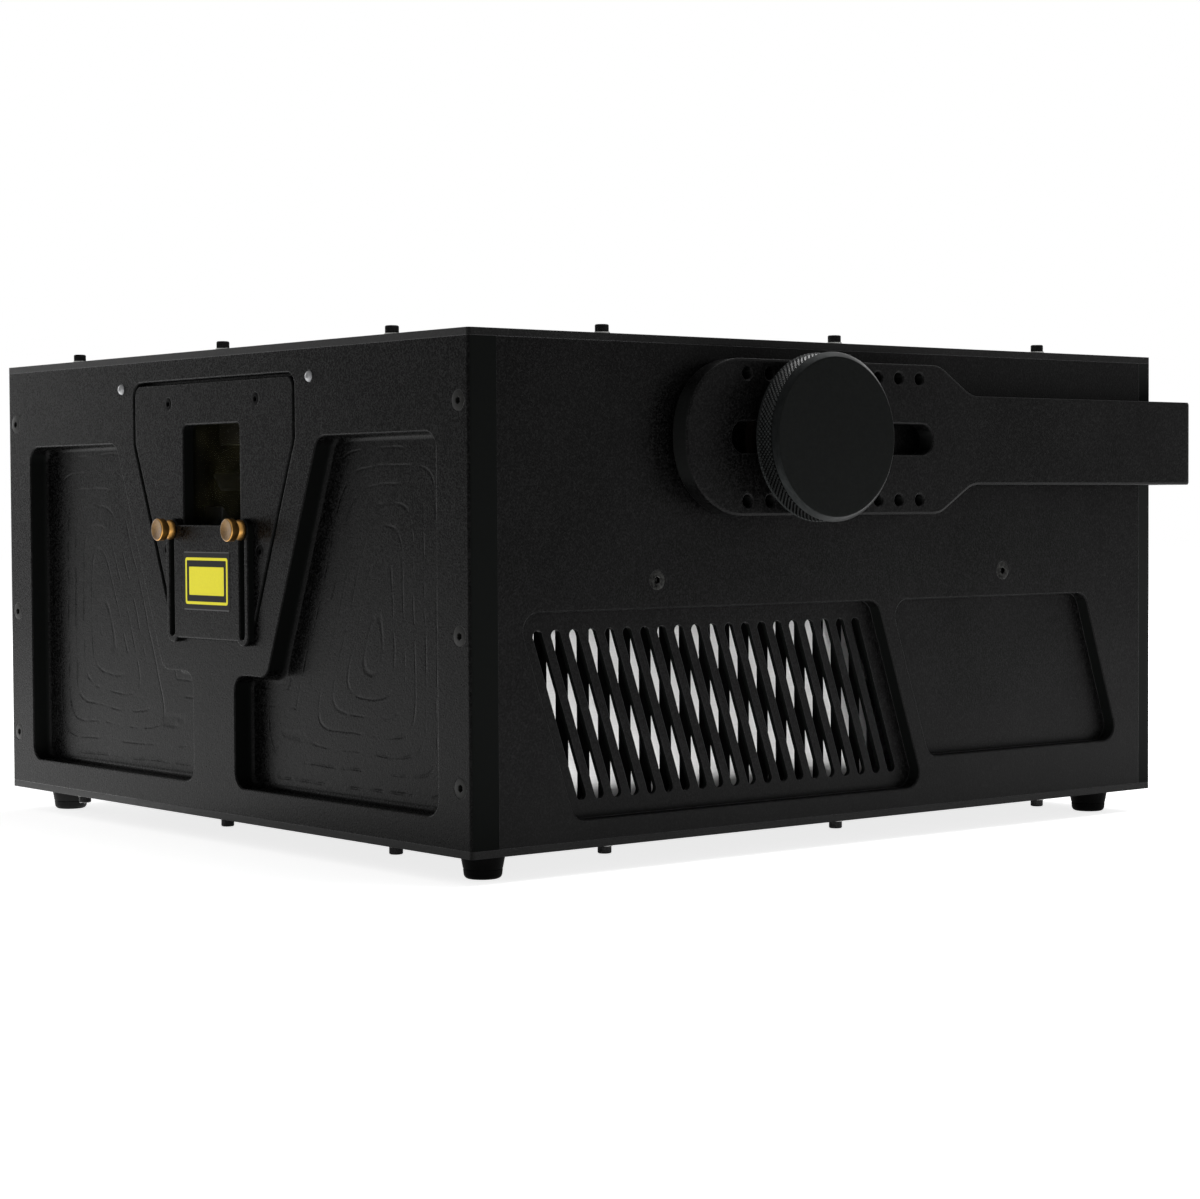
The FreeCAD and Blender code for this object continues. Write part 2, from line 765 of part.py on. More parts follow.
def countersunk_screws(label, level, spots, direction, names):
    """Countersunk screws at a level along Y, driven along Y."""
    diameter, head, length = (getattr(size, f"{names}_{part}") for part in ("diameter", "head", "length"))
    piece = Piece(label)
    piece.pad(piece.draw("XZ", level).circles(spots, head), (head - diameter) / 2, direction, COUNTERSINK)
    piece.pad(piece.draw("XZ", level).circles(spots, diameter), length, direction)
    return piece.body


def bench_screws():
    """Countersunk screws through both side plates into the edges of the optical bench."""
    piece = Piece("bench_screws")
    spots = [(line, bench_z) for line in bench_screw_lines]
    for side in (-1, 1):
        heads = piece.draw("YZ", side * half_width).circles(spots, size.plate_screw_head)
        piece.pad(heads, plate_screw_sink_depth, -side, COUNTERSINK)
        shanks = piece.draw("YZ", side * half_width).circles(spots, size.plate_screw_diameter)
        piece.pad(shanks, size.plate_screw_length, -side)
    return piece.body


def mask_plate():
    """Sliding beam mask: a panel between two slotted ears, at its lowest stop."""
    piece = Piece("mask_plate")
    low = thumb_z - size.mask_travel
    panel_low = low - size.mask_panel_setback
    panel_high = thumb_z + size.mask_panel_rise
    panel = piece.draw("XZ", front).rectangle((-thumb_x, panel_low), (thumb_x, panel_high))
    piece.pad(panel, size.mask_thickness, -1)
    for side in (-1, 1):
        ends = (side * thumb_x, low), (side * thumb_x, thumb_z)
        piece.pad(piece.draw("XZ", front).slot(*ends, size.mask_ear_width), size.mask_thickness, -1)
    for side in (-1, 1):
        ends = (side * thumb_x, low), (side * thumb_x, thumb_z)
        piece.cut(piece.draw("XZ", front).slot(*ends, size.mask_slot_width))
    piece.soften(piece.edges_at("Y", front - size.mask_thickness), size.edge_bevel, "Chamfer")
    return piece.body


def thumbscrew(side):
    """Brass thumbscrew: shank, collar on the mask, neck and round head."""
    piece = Piece(f"{SIDE_NAMES[side]}_thumbscrew")
    shank, collar = size.thumb_shank_diameter / 2, size.thumb_collar_diameter / 2
    neck, head = size.thumb_neck_diameter / 2, size.thumb_head_diameter / 2
    bevel = size.thumb_bevel
    collar_top = size.thumb_collar_height
    neck_top = collar_top + size.thumb_neck_height
    depth = size.mask_thickness + size.thumb_shank_depth
    piece.turn([(0, -depth), (shank, -depth), (shank, 0), (collar - bevel, 0), (collar, bevel),
                (collar, collar_top - bevel), (collar - bevel, collar_top), (neck, collar_top),
                (neck, neck_top), (head - bevel, neck_top), (head, neck_top + bevel),
                (head, thumb_height - bevel), (head - bevel, thumb_height), (0, thumb_height)])
    return piece.place((side * thumb_x, front - size.mask_thickness, thumb_z), FORWARD).body


def side_plate(side):
    """Side plate with a raked grille in a milled pocket, and a blank pocket behind it."""
    piece = Piece(f"{SIDE_NAMES[side]}_side_plate")
    outside = side * half_width
    inside = side * inner_half_width
    plate = piece.draw("YZ", outside).rectangle((front_inner, plate_low), (rear_inner, plate_high))
    piece.pad(plate, size.side_thickness, -side)
    rake = size.side_pocket_rake
    top = floor + size.grille_top

    def raked(start, length, base):
        """Corners of a parallelogram that leans back as it goes down."""
        lean = rake * (top - base)
        return [(start, top), (start + length, top), (start + length + lean, base), (start + lean, base)]

    grille_start = front + size.grille_front
    grille_base = floor + size.grille_base
    grille = raked(grille_start, size.grille_length, grille_base)
    blank_start = grille_start + size.grille_length + size.pocket_wall
    blank_base = floor + size.blank_base
    blank_end = rear - size.blank_rear_margin - rake * (top - blank_base)
    blank = raked(blank_start, blank_end - blank_start, blank_base)
    for corners in (grille, blank):
        piece.cut(piece.draw("YZ", outside).polygon(corners), size.side_pocket_depth, -side)
        piece.soften(piece.edges("X", corners), size.side_pocket_round)
    ends = front_inner + size.edge_round, rear_inner - size.edge_round
    piece.soften(piece.edges_at("X", outside, ends, "Y"), size.edge_bevel, "Chamfer")
    margin = size.grille_relief_margin
    relief = [(grille[0][0] + margin, top - margin), (grille[1][0] - margin, top - margin),
              (grille[2][0] - margin, grille_base + margin), (grille[3][0] + margin, grille_base + margin)]
    relief_depth = size.side_thickness - size.side_pocket_depth - size.grille_web
    piece.cut(piece.draw("YZ", inside).polygon(relief), relief_depth, side)
    slot_top = top - size.grille_slot_margin - size.grille_slot_width / 2
    slot_base = grille_base + size.grille_slot_margin + size.grille_slot_width / 2
    slot_run = size.grille_slot_pitch * (size.grille_slot_count - 1)
    slot_first = grille_start + (size.grille_length - slot_run) / 2
    ends = [(slot_first + rake * (top - level), level) for level in (slot_base, slot_top)]
    slot = piece.cut(piece.draw("YZ", outside).slot(*ends, size.grille_slot_width))
    piece.repeat(slot, "Y", size.grille_slot_pitch, size.grille_slot_count)
    bench_spots = [(line, bench_z) for line in bench_screw_lines]
    piece.cut(piece.draw("YZ", outside).circles(bench_spots, plate_screw_hole))
    sinks = piece.draw("YZ", outside).circles(bench_spots, plate_screw_sink)
    piece.cut(sinks, plate_screw_sink_depth, -side, COUNTERSINK)
    stud_hole = size.stud_diameter + 2 * size.running_clearance
    piece.cut(piece.draw("YZ", outside).circles([(pivot_y, pivot_z)], stud_hole))
    drill_lid_holes(piece, side_lid_spots[side])
    spots = [(side * plate_screw_x, level) for level in plate_screw_levels]
    front_depth = size.plate_screw_length - size.front_thickness + size.screw_clearance
    rear_depth = size.plate_screw_length - size.rear_thickness + size.screw_clearance
    piece.cut(piece.draw("XZ", front_inner).circles(spots, plate_screw_hole), front_depth, 1)
    piece.cut(piece.draw("XZ", rear_inner).circles(spots, plate_screw_hole), rear_depth, -1)
    return piece.body


def rear_plate():
    """Rear plate with the cut-outs for its sockets, fuse and key switch."""
    piece = Piece("rear_plate")
    plate = piece.draw("XZ", rear_inner).rectangle((-half_width, plate_low), (half_width, plate_high))
    piece.pad(plate, size.rear_thickness)
    fit = 2 * size.socket_fit
    piece.cut(piece.draw("XZ", rear).circles(plate_screw_spots, plate_screw_hole))
    sinks = piece.draw("XZ", rear).circles(plate_screw_spots, plate_screw_sink)
    piece.cut(sinks, plate_screw_sink_depth, -1, COUNTERSINK)
    piece.cut(piece.draw("XZ", rear).circles([spot for _, spots in socket_groups() for spot in spots],
                                             size.socket_barrel + fit))
    piece.cut(piece.draw("XZ", rear).circles([(size.fuse_place, panel_z)], size.fuse_diameter + fit))
    piece.cut(piece.draw("XZ", rear).circles([(size.key_place, panel_z)], size.key_barrel + fit))
    shell = piece.draw("XZ", rear)
    shell.block((size.signal_place, panel_low_z), size.signal_shell_width + fit,
                size.signal_shell_height + fit)
    piece.cut(shell)
    drill_lid_holes(piece, rear_lid_spots)
    corners = [(-half_width, rear), (half_width, rear)]
    piece.soften(piece.edges("Z", corners), size.edge_round)
    return piece.body


def cover(label, level, holes):
    """Thin cover sheet, drilled for its screws."""
    piece = Piece(label)
    sheet = piece.draw("XY", level).rectangle((-half_width, front), (half_width, rear))
    piece.pad(sheet, size.cover_thickness)
    piece.cut(piece.draw("XY", level).circles(lid_spots, lid_screw_hole))
    if holes:
        foot_hole = size.foot_screw_diameter + 2 * size.screw_clearance
        piece.cut(piece.draw("XY", level).circles(holes, foot_hole))
    corners = [(x, y) for x in (-half_width, half_width) for y in (front, rear)]
    piece.soften(piece.edges("Z", corners), size.edge_round)
    return piece.body


def cover_screws():
    """Cap screws of both covers, standing on their washers."""
    piece = Piece("cover_screws")
    shank = size.washer_thickness + size.cover_thickness + size.lid_screw_depth - size.lid_screw_diameter / 2
    for level, direction in ((roof, 1), (floor, -1)):
        seat = level + direction * size.washer_thickness
        heads = piece.draw("XY", seat).circles(lid_spots, size.lid_screw_head)
        piece.pad(heads, size.lid_screw_head_height, direction)
        piece.pad(piece.draw("XY", seat).circles(lid_spots, size.lid_screw_diameter), shank, -direction)
    return piece.body


def cover_washers():
    """Washers under the cap screws of both covers."""
    piece = Piece("cover_washers")
    for level, direction in ((roof, 1), (floor, -1)):
        rings = piece.draw("XY", level).circles(lid_spots, size.washer_diameter)
        rings.circles(lid_spots, lid_screw_hole)
        piece.pad(rings, size.washer_thickness, direction)
    return piece.body


def group(label, bodies):
    """Several alike solids that share one node."""
    compound = doc.addObject("Part::Compound", label)
    compound.Label = label
    compound.Links = bodies
    return compound


def rubber_feet():
    """Tapered rubber feet with a bore for their screws."""
    feet = []
    top, tip = size.foot_top_diameter / 2, size.foot_tip_diameter / 2
    bore = size.foot_screw_diameter / 2 + size.screw_clearance
    well = size.foot_screw_head / 2 + size.screw_clearance
    for number, (x, y) in enumerate(foot_spots, start=1):
        piece = Piece(f"foot_{number}")
        piece.turn([(bore, size.foot_height), (bore, size.foot_screw_seat), (well, size.foot_screw_seat),
                    (well, 0), (tip - size.foot_round, 0), (tip, size.foot_round), (top, size.foot_height)])
        feet.append(piece.place((x, y, 0)).body)
    return group("rubber_feet", feet)


def foot_screws():
    """Screws that hold the feet, with their nuts inside the base."""
    piece = Piece("foot_screws")
    head_low = size.foot_screw_seat - size.foot_screw_head_height
    heads = piece.draw("XY", head_low).circles(foot_spots, size.foot_screw_head)
    piece.pad(heads, size.foot_screw_head_height)
    length = plate_low + size.foot_nut_height - head_low
    piece.pad(piece.draw("XY", head_low).circles(foot_spots, size.foot_screw_diameter), length)
    piece.pad(piece.draw("XY", plate_low).circles(foot_spots, size.foot_nut_diameter), size.foot_nut_height)
    return piece.body


def yoke_bracket():
    """U-shaped bracket of thick plate with square corners, slotted and drilled in its two arms."""
    piece = Piece("yoke_bracket")
    inner = half_width + size.yoke_gap
    outer = inner + size.yoke_thickness
    tip = pivot_y - size.yoke_head_front
    inner_back = pivot_y + yoke_reach
    back = yoke_back
    low, high = pivot_z - size.yoke_head_half_height, pivot_z + size.yoke_head_half_height
    plan = piece.draw("XY", low)
    plan.polygon([(-outer, tip), (-inner, tip), (-inner, inner_back), (inner, inner_back),
                  (inner, tip), (outer, tip), (outer, back), (-outer, back)])
    piece.pad(plan, high - low)
    piece.soften(piece.edges("Z", [(-outer, back), (outer, back)]), size.yoke_bend)
    piece.soften(piece.edges("Z", [(-inner, inner_back), (inner, inner_back)]), size.yoke_inner_bend)
    taper_start = pivot_y + size.yoke_taper_start
    taper_end = taper_start + size.yoke_taper_length
    beyond = back + size.yoke_thickness
    for way in (-1, 1):
        edge = pivot_z + way * size.yoke_head_half_height
        arm = pivot_z + way * size.yoke_arm_half_height
        waste = [(taper_start, edge), (taper_end, arm), (beyond, arm), (beyond, edge)]
        piece.cut(piece.draw("YZ").polygon(waste))
        piece.soften(piece.edges("X", [(taper_start, edge), (taper_end, arm)]), size.yoke_taper_round)
    piece.soften(piece.edges("X", [(tip, low), (tip, high)]), size.yoke_head_round)
    middle = pivot_y + size.yoke_slot_shift
    slot_width = size.stud_diameter + 2 * size.yoke_slot_clearance
    ends = [(middle + way * size.yoke_slot_length / 2, pivot_z) for way in (-1, 1)]
    piece.cut(piece.draw("YZ").slot(*ends, slot_width))
    first = middle - size.index_hole_pitch * (size.index_hole_count - 1) / 2
    rows = [(first, pivot_z + way * size.index_hole_row) for way in (-1, 1)]
    holes = piece.cut(piece.draw("YZ").circles(rows, size.index_hole_diameter))
    piece.repeat(holes, "Y", size.index_hole_pitch, size.index_hole_count)
    for side in (-1, 1):
        piece.soften(piece.edges_at("X", side * outer), size.edge_bevel, "Chamfer")
    clamps = [(way * size.clamp_hole_spacing / 2, pivot_z) for way in (-1, 1)]
    piece.cut(piece.draw("XZ", back).circles(clamps, size.clamp_hole_diameter), size.yoke_thickness, -1)
    seat = size.bush_diameter + 2 * size.running_clearance
    piece.cut(piece.draw("XZ", back).circles([(0, pivot_z)], seat), size.yoke_thickness, -1)
    return piece.body


def clamp_bush():
    """Steel bush in the middle of the yoke's crossbar, for the bolt of a truss clamp."""
    piece = Piece("clamp_bush")
    ring = piece.draw("XZ", yoke_back).circles([(0, pivot_z)], size.bush_diameter)
    ring.circles([(0, pivot_z)], size.clamp_hole_diameter)
    piece.pad(ring, size.yoke_thickness, -1)
    return piece.body


def stud_ring(label, side, start, thickness, diameter):
    """Flat ring that runs on a pivot stud, from a distance outside the side plate."""
    piece = Piece(label)
    bore = size.stud_diameter / 2 + size.running_clearance
    radius = diameter / 2
    piece.turn([(bore, 0), (radius, 0), (radius, thickness), (bore, thickness)])
    return piece.place((side * (half_width + start), pivot_y, pivot_z), OUTWARD[side]).body


def friction_discs():
    """Friction discs between the casing and the arms of the yoke."""
    return group("friction_discs", [
        stud_ring(f"{SIDE_NAMES[side]}_friction_disc", side, 0, size.yoke_gap, size.friction_disc_diameter)
        for side in (-1, 1)])


def clamp_washers():
    """Washers between the arms of the yoke and the knobs."""
    start = size.yoke_gap + size.yoke_thickness
    return group("clamp_washers", [
        stud_ring(f"{SIDE_NAMES[side]}_clamp_washer", side, start, size.clamp_washer_thickness,
                  size.clamp_washer_diameter)
        for side in (-1, 1)])


knob_start = size.yoke_gap + size.yoke_thickness + size.clamp_washer_thickness


def pivot_studs():
    """Studs fixed in the side plates, with a flange inside, that the knobs screw on to."""
    studs = []
    shank, flange = size.stud_diameter / 2, size.stud_flange_diameter / 2
    length = size.side_thickness + knob_start + size.knob_thread_depth - size.screw_clearance
    for side in (-1, 1):
        piece = Piece(f"{SIDE_NAMES[side]}_pivot_stud")
        piece.turn([(0, -size.stud_flange_height), (flange, -size.stud_flange_height), (flange, 0),
                    (shank, 0), (shank, length), (0, length)])
        studs.append(piece.place((side * inner_half_width, pivot_y, pivot_z), OUTWARD[side]).body)
    return group("pivot_studs", studs)


def knob(side):
    """Round clamp knob on a hub, with a blind thread."""
    piece = Piece(f"{SIDE_NAMES[side]}_knob")
    bore = size.stud_diameter / 2 + size.running_clearance
    hub, rim = size.knob_hub_diameter / 2, size.knob_diameter / 2
    bevel, back_bevel = size.knob_bevel, size.knob_back_bevel
    low = size.knob_hub_height
    high = low + size.knob_thickness
    piece.turn([(0, size.knob_thread_depth), (bore, size.knob_thread_depth), (bore, 0), (hub, 0), (hub, low),
                (rim - back_bevel, low), (rim, low + back_bevel), (rim, high - bevel), (rim - bevel, high),
                (0, high)])
    return piece.place((side * (half_width + knob_start), pivot_y, pivot_z), OUTWARD[side]).body


def optical_bench():
    """Thick plate across the casing that carries the optics above and the heat sink below."""
    piece = Piece("optical_bench")
    half = inner_half_width - size.bench_clearance
    start = front_inner + size.bench_clearance
    outline = (-half, start), (half, start + size.bench_length)
    piece.pad(piece.draw("XY", bench_base).rectangle(*outline), size.bench_thickness)
    spots = [(line, bench_z) for line in bench_screw_lines]
    depth = size.plate_screw_length - size.side_thickness + size.screw_clearance
    for side in (-1, 1):
        piece.cut(piece.draw("YZ", side * half).circles(spots, plate_screw_hole), depth, -side)
    return piece.body


sink_base = bench_base - size.sink_base_thickness
fin_first = front + size.sink_front + size.fin_end_margin
fin_run = size.fin_pitch * (size.fin_count - 1) + size.fin_thickness
fan_line = fin_first + fin_run / 2
fan_z = sink_base - size.fan_size / 2
fan_step = (size.fan_size + size.fan_gap) / 2


def heat_sink():
    """Finned heat sink under the bench, with a bay across its middle for the fans."""
    piece = Piece("heat_sink")
    half = size.sink_width / 2
    base = piece.draw("XY", sink_base)
    start, end = fin_first - size.fin_end_margin, fin_first + fin_run + size.fin_end_margin
    base.rectangle((-half, start), (half, end))
    piece.pad(base, size.sink_base_thickness)
    bay = size.fan_bay_width / 2
    fins = piece.draw("XZ", fin_first)
    for side in (-1, 1):
        ends = sorted((side * bay, side * half), key=lambda end: end.value)
        fins.rectangle((ends[0], sink_base - size.fin_height), (ends[1], sink_base))
    piece.repeat(piece.pad(fins, size.fin_thickness), "Y", size.fin_pitch, size.fin_count)
    return piece.body


def fan_frame(name, line):
    """Square fan frame with a spider that carries the rotor's shaft."""
    piece = Piece(f"{name}_fan_frame")
    half = size.fan_depth / 2
    side = size.fan_size / 2
    middle = (line, fan_z)
    piece.pad(piece.draw("YZ", -half).block(middle, size.fan_size, size.fan_size), size.fan_depth)
    corners = [(line + i * side, fan_z + j * side) for i in (-1, 1) for j in (-1, 1)]
    piece.soften(piece.edges("X", corners), size.fan_corner_round)
    piece.cut(piece.draw("YZ", -half).circles([middle], size.fan_bore))
    reach = size.fan_bore + size.fan_strut_width / 2
    piece.pad(piece.draw("YZ", -half).block(middle, reach, size.fan_strut_width), size.fan_spider_thickness)
    piece.pad(piece.draw("YZ", -half).block(middle, size.fan_strut_width, reach), size.fan_spider_thickness)
    piece.pad(piece.draw("YZ", -half).circles([middle], size.fan_hub_diameter), size.fan_spider_thickness)
    shaft_hole = size.fan_shaft_diameter + 2 * size.running_clearance
    piece.cut(piece.draw("YZ", -half).circles([middle], shaft_hole))
    return piece.body


def fan_rotor(name, line):
    """Fan hub with pitched blades, and the shaft that turns in the frame's spider."""
    piece = Piece(f"{name}_fan_rotor")
    hub, shaft = size.fan_hub_diameter / 2, size.fan_shaft_diameter / 2
    start = size.fan_spider_thickness + size.fan_hub_gap
    end = start + size.fan_hub_length
    piece.turn([(0, 0), (shaft, 0), (shaft, start), (hub, start), (hub, end), (0, end)])
    doc.recompute()
    blade = piece.draw("XZ", 0)
    middle = (start + end) / 2
    lean = size.fan_blade_length / 2
    half = size.fan_blade_thickness / 2
    blade.polygon([(-lean - half, middle - lean), (half - lean, middle - lean),
                   (lean + half, middle + lean), (lean - half, middle + lean)])
    piece.repeat_round(piece.pad(blade, size.fan_blade_reach), size.fan_blade_count)
    return piece.place((-size.fan_depth / 2, line, fan_z), RIGHTWARD).body


def laser_module(colour, number):
    """Laser module: a block on a flange, with a nozzle towards the beam line."""
    piece = Piece(f"{colour}_laser_module")
    line = front + size.laser_first + number * size.laser_pitch
    half = size.laser_width / 2
    start, end = size.laser_start, size.laser_start + size.laser_length
    body = piece.draw("XY", bench_top).rectangle((start, line - half), (end, line + half))
    piece.pad(body, size.laser_height)
    corners = [(x, y) for x in (start, end) for y in (line - half, line + half)]
    piece.soften(piece.edges("Z", corners), size.laser_round)
    flange = piece.draw("XY", bench_top)
    flange.rectangle((start, line - half - size.laser_flange), (end, line + half + size.laser_flange))
    piece.pad(flange, size.laser_flange_thickness)
    nozzle = piece.draw("YZ", start).circles([(line, beam_z)], size.laser_nozzle_diameter)
    piece.pad(nozzle, size.laser_nozzle_length, -1)
    return piece.body


LASERS = ("red", "green", "blue")
mirror_lines = [front + size.laser_first + number * size.laser_pitch for number in range(len(LASERS))]
MIRROR_TURN = Rotation(Vector(0, 0, 1), DIAGONAL)


def mirror_mounts():
    """Upright mirror mounts on square feet, turned to 45 degrees on the beam line."""
    mounts = []
    for number, line in enumerate(mirror_lines, start=1):
        piece = Piece(f"mirror_mount_{number}")
        foot = size.mirror_mount_foot / 2
        front_face = -size.mirror_thickness / 2 - size.mirror_mount_thickness
        high = size.beam_height + size.mirror_side / 2
        base = piece.draw("XY").rectangle((-foot, front_face - foot), (foot, foot))
        piece.pad(base, size.mirror_mount_foot_height)
        half = size.mirror_side / 2
        post = piece.draw("XY").rectangle((-half, front_face), (half, -size.mirror_thickness / 2))
        piece.pad(post, high)
        mounts.append(piece.place((beam_x, line, bench_top), MIRROR_TURN).body)
    return group("mirror_mounts", mounts)


def combining_mirrors():
    """Square mirrors that bring the three beams on to one line."""
    mirrors = []
    for number, line in enumerate(mirror_lines, start=1):
        piece = Piece(f"combining_mirror_{number}")
        plate = piece.draw("XZ", -size.mirror_thickness / 2)
        plate.block((0, size.beam_height), size.mirror_side, size.mirror_side)
        piece.pad(plate, size.mirror_thickness)
        mirrors.append(piece.place((beam_x, line, bench_top), MIRROR_TURN).body)
    return group("combining_mirrors", mirrors)


def fold_mirror():
    """Wedge whose sloping face sends the beam up to the scanner."""
    piece = Piece("fold_mirror")
    start = scan_y - (size.fold_mirror_side - size.beam_height)
    half = size.fold_mirror_width / 2
    wedge = piece.draw("YZ", beam_x - half)
    wedge.polygon([(start, bench_top), (start + size.fold_mirror_side, bench_top),
                   (start, bench_top + size.fold_mirror_side)])
    piece.pad(wedge, size.fold_mirror_width)
    return piece.body


galvo_hole = size.galvo_diameter + 2 * size.running_clearance
block_start = scan_y + size.galvo_standoff
block_end = block_start + size.scanner_post_depth
arm_low = scan_z + size.galvo_standoff
arm_high = arm_low + size.galvo_length - size.scanner_wall
post_half = size.galvo_diameter / 2 + size.scanner_wall


def scanner_block():
    """Bored block that holds the two galvo motors square to each other."""
    piece = Piece("scanner_block")
    post = piece.draw("XY", bench_top)
    post.rectangle((beam_x - post_half, block_start), (post_half, block_end))
    piece.pad(post, arm_high - bench_top)
    arm = piece.draw("XY", arm_low)
    arm_front = scan_y - size.galvo_diameter / 2 - size.scanner_lip
    arm.rectangle((-post_half, arm_front), (post_half, block_end))
    piece.pad(arm, arm_high - arm_low)
    cheek = piece.draw("XY", bench_top)
    cheek.rectangle((beam_x - post_half, scan_y), (beam_x - post_half + size.scanner_cheek, block_end))
    piece.pad(cheek, scan_z + size.scanner_wall - bench_top)
    piece.cut(piece.draw("XZ", block_start).circles([(beam_x, scan_z)], galvo_hole))
    piece.cut(piece.draw("XZ", block_start).circles([(beam_x, beam_z)], size.beam_tunnel))
    piece.cut(piece.draw("XY", arm_high).circles([(0, scan_y)], galvo_hole))
    return piece.body


def galvo_motor(label, spot, rotation):
    """Galvo motor: a round body with a nose, bored for its shaft."""
    piece = Piece(label)
    bore = size.galvo_shaft_diameter / 2 + size.running_clearance
    body, nose = size.galvo_diameter / 2, size.galvo_nose_diameter / 2
    depth = size.galvo_length / 2
    piece.turn([(0, -size.galvo_length), (body, -size.galvo_length), (body, 0), (nose, 0),
                (nose, size.galvo_nose_length), (bore, size.galvo_nose_length), (bore, -depth), (0, -depth)])
    return piece.place(spot, rotation).body


def galvo_mirror(label, spot, rotation):
    """Galvo shaft with a clamp and the thin mirror that it turns."""
    piece = Piece(label)
    shaft, clamp = size.galvo_shaft_diameter / 2, size.galvo_clamp_diameter / 2
    foot = -size.galvo_length / 2 + size.running_clearance
    clamp_low = size.galvo_nose_length + size.running_clearance
    clamp_high = clamp_low + size.galvo_clamp_length
    piece.turn([(0, foot), (shaft, foot), (shaft, clamp_low), (clamp, clamp_low), (clamp, clamp_high),
                (0, clamp_high)])
    mirror = piece.draw("XY", clamp_high)
    mirror.block((0, 0), size.galvo_mirror_width, size.galvo_mirror_thickness)
    piece.pad(mirror, size.galvo_mirror_length)
    return piece.place(spot, rotation).body


vertical_spot = (beam_x, block_start, scan_z)
vertical_turn = FORWARD * Rotation(Vector(0, 0, 1), -DIAGONAL)
horizontal_spot = (as_size(0), scan_y, arm_low)
horizontal_turn = DOWNWARD * Rotation(Vector(0, 0, 1), DIAGONAL)

shutter_y = front + size.shutter_from_front
shutter_x = beam_x - size.shutter_offset


def shutter_motor():
    """Rotary solenoid that carries the shutter flag."""
    piece = Piece("shutter_motor")
    half = size.shutter_motor_side / 2
    body = piece.draw("XZ", shutter_y)
    body.rectangle((shutter_x - half, bench_top), (shutter_x + half, beam_z + half))
    piece.pad(body, size.shutter_motor_length)
    hole = piece.draw("XZ", shutter_y).circles([(shutter_x, beam_z)],
                                                size.shutter_shaft_diameter + 2 * size.running_clearance)
    piece.cut(hole, size.shutter_motor_length / 2)
    return piece.body


def shutter_flag():
    """Flag on its shaft, lying across the beam at rest."""
    piece = Piece("shutter_flag")
    half = size.shutter_flag_height / 2
    depth = size.shutter_motor_length / 2 - size.running_clearance
    plane = shutter_y - size.shutter_shaft_length
    flag = piece.draw("XZ", plane)
    flag.rectangle((shutter_x - half, beam_z - half), (shutter_x + size.shutter_flag_reach, beam_z + half))
    piece.pad(flag, size.shutter_flag_thickness)
    shaft = piece.draw("XZ", plane).circles([(shutter_x, beam_z)], size.shutter_shaft_diameter)
    piece.pad(shaft, size.shutter_shaft_length + depth)
    return piece.body


board_level = bench_top + size.board_standoff
CHIP_COLUMNS = 3
CHIP_ROWS = 2
BOARDS = {
    "scanner_driver": (size.driver_front, size.driver_width, size.driver_length),
    "control_board": (size.control_front, size.control_width, size.control_length),
}


def board_corners(start, width, length):
    """Places of a board's four fixing points."""
    inset = size.board_corner_inset
    return [(x, front + y) for x in (-size.board_side + inset, -size.board_side + width - inset)
            for y in (start + inset, start + length - inset)]


def circuit_board(label):
    """Circuit board with rows of chips."""
    start, width, length = BOARDS[label]
    piece = Piece(label)
    left, low = -size.board_side, front + start
    outline = (left, low), (left + width, low + length)
    piece.pad(piece.draw("XY", board_level).rectangle(*outline), size.board_thickness)
    chips = piece.draw("XY", board_level + size.board_thickness)
    across, along = width / (CHIP_COLUMNS + 1), length / (CHIP_ROWS + 1)
    for i in range(1, CHIP_COLUMNS + 1):
        for j in range(1, CHIP_ROWS + 1):
            chips.block((left + across * i, low + along * j), size.chip_width, size.chip_length)
    piece.pad(chips, size.chip_height)
    return piece.body


def board_standoffs():
    """Pillars that hold both boards above the bench."""
    piece = Piece("board_standoffs")
    spots = [spot for plan in BOARDS.values() for spot in board_corners(*plan)]
    piece.pad(piece.draw("XY", bench_top).circles(spots, size.board_standoff_diameter), size.board_standoff)
    return piece.body


def power_supply():
    """Enclosed power supply on the base, with a notch for its terminals."""
    piece = Piece("power_supply")
    half = size.supply_width / 2
    low = front + size.supply_front
    case = piece.draw("XY", plate_low).rectangle((-half, low), (half, low + size.supply_length))
    piece.pad(case, size.supply_height)
    notch = piece.draw("XY", plate_low + size.supply_height)
    notch.rectangle((half - size.supply_terminal_width, low), (half, low + size.supply_length))
    piece.cut(notch, size.supply_terminal_depth, -1)
    return piece.body


def laser_driver():
    """Driver for the three laser modules, on the base beside the supply."""
    piece = Piece("laser_driver")
    low = front + size.supply_front
    start = size.laser_driver_start
    case = piece.draw("XY", plate_low)
    case.rectangle((start, low), (start + size.laser_driver_width, low + size.supply_length))
    piece.pad(case, size.laser_driver_height)
    return piece.body


panel_z = floor + size.panel_row
panel_low_z = floor + size.panel_low_row


def socket_groups():
    """Names of the round panel sockets, each with its centres on the rear plate."""
    return [
        ("power_inlet", [(size.inlet_place, panel_z)]),
        ("power_outlet", [(size.outlet_place, panel_z)]),
        ("interlock_socket", [(size.interlock_place, panel_z)]),
        ("network_socket", [(size.network_place, panel_z)]),
        ("control_sockets", [(size.control_place + i * size.control_pitch, panel_z) for i in range(2)]),
    ]


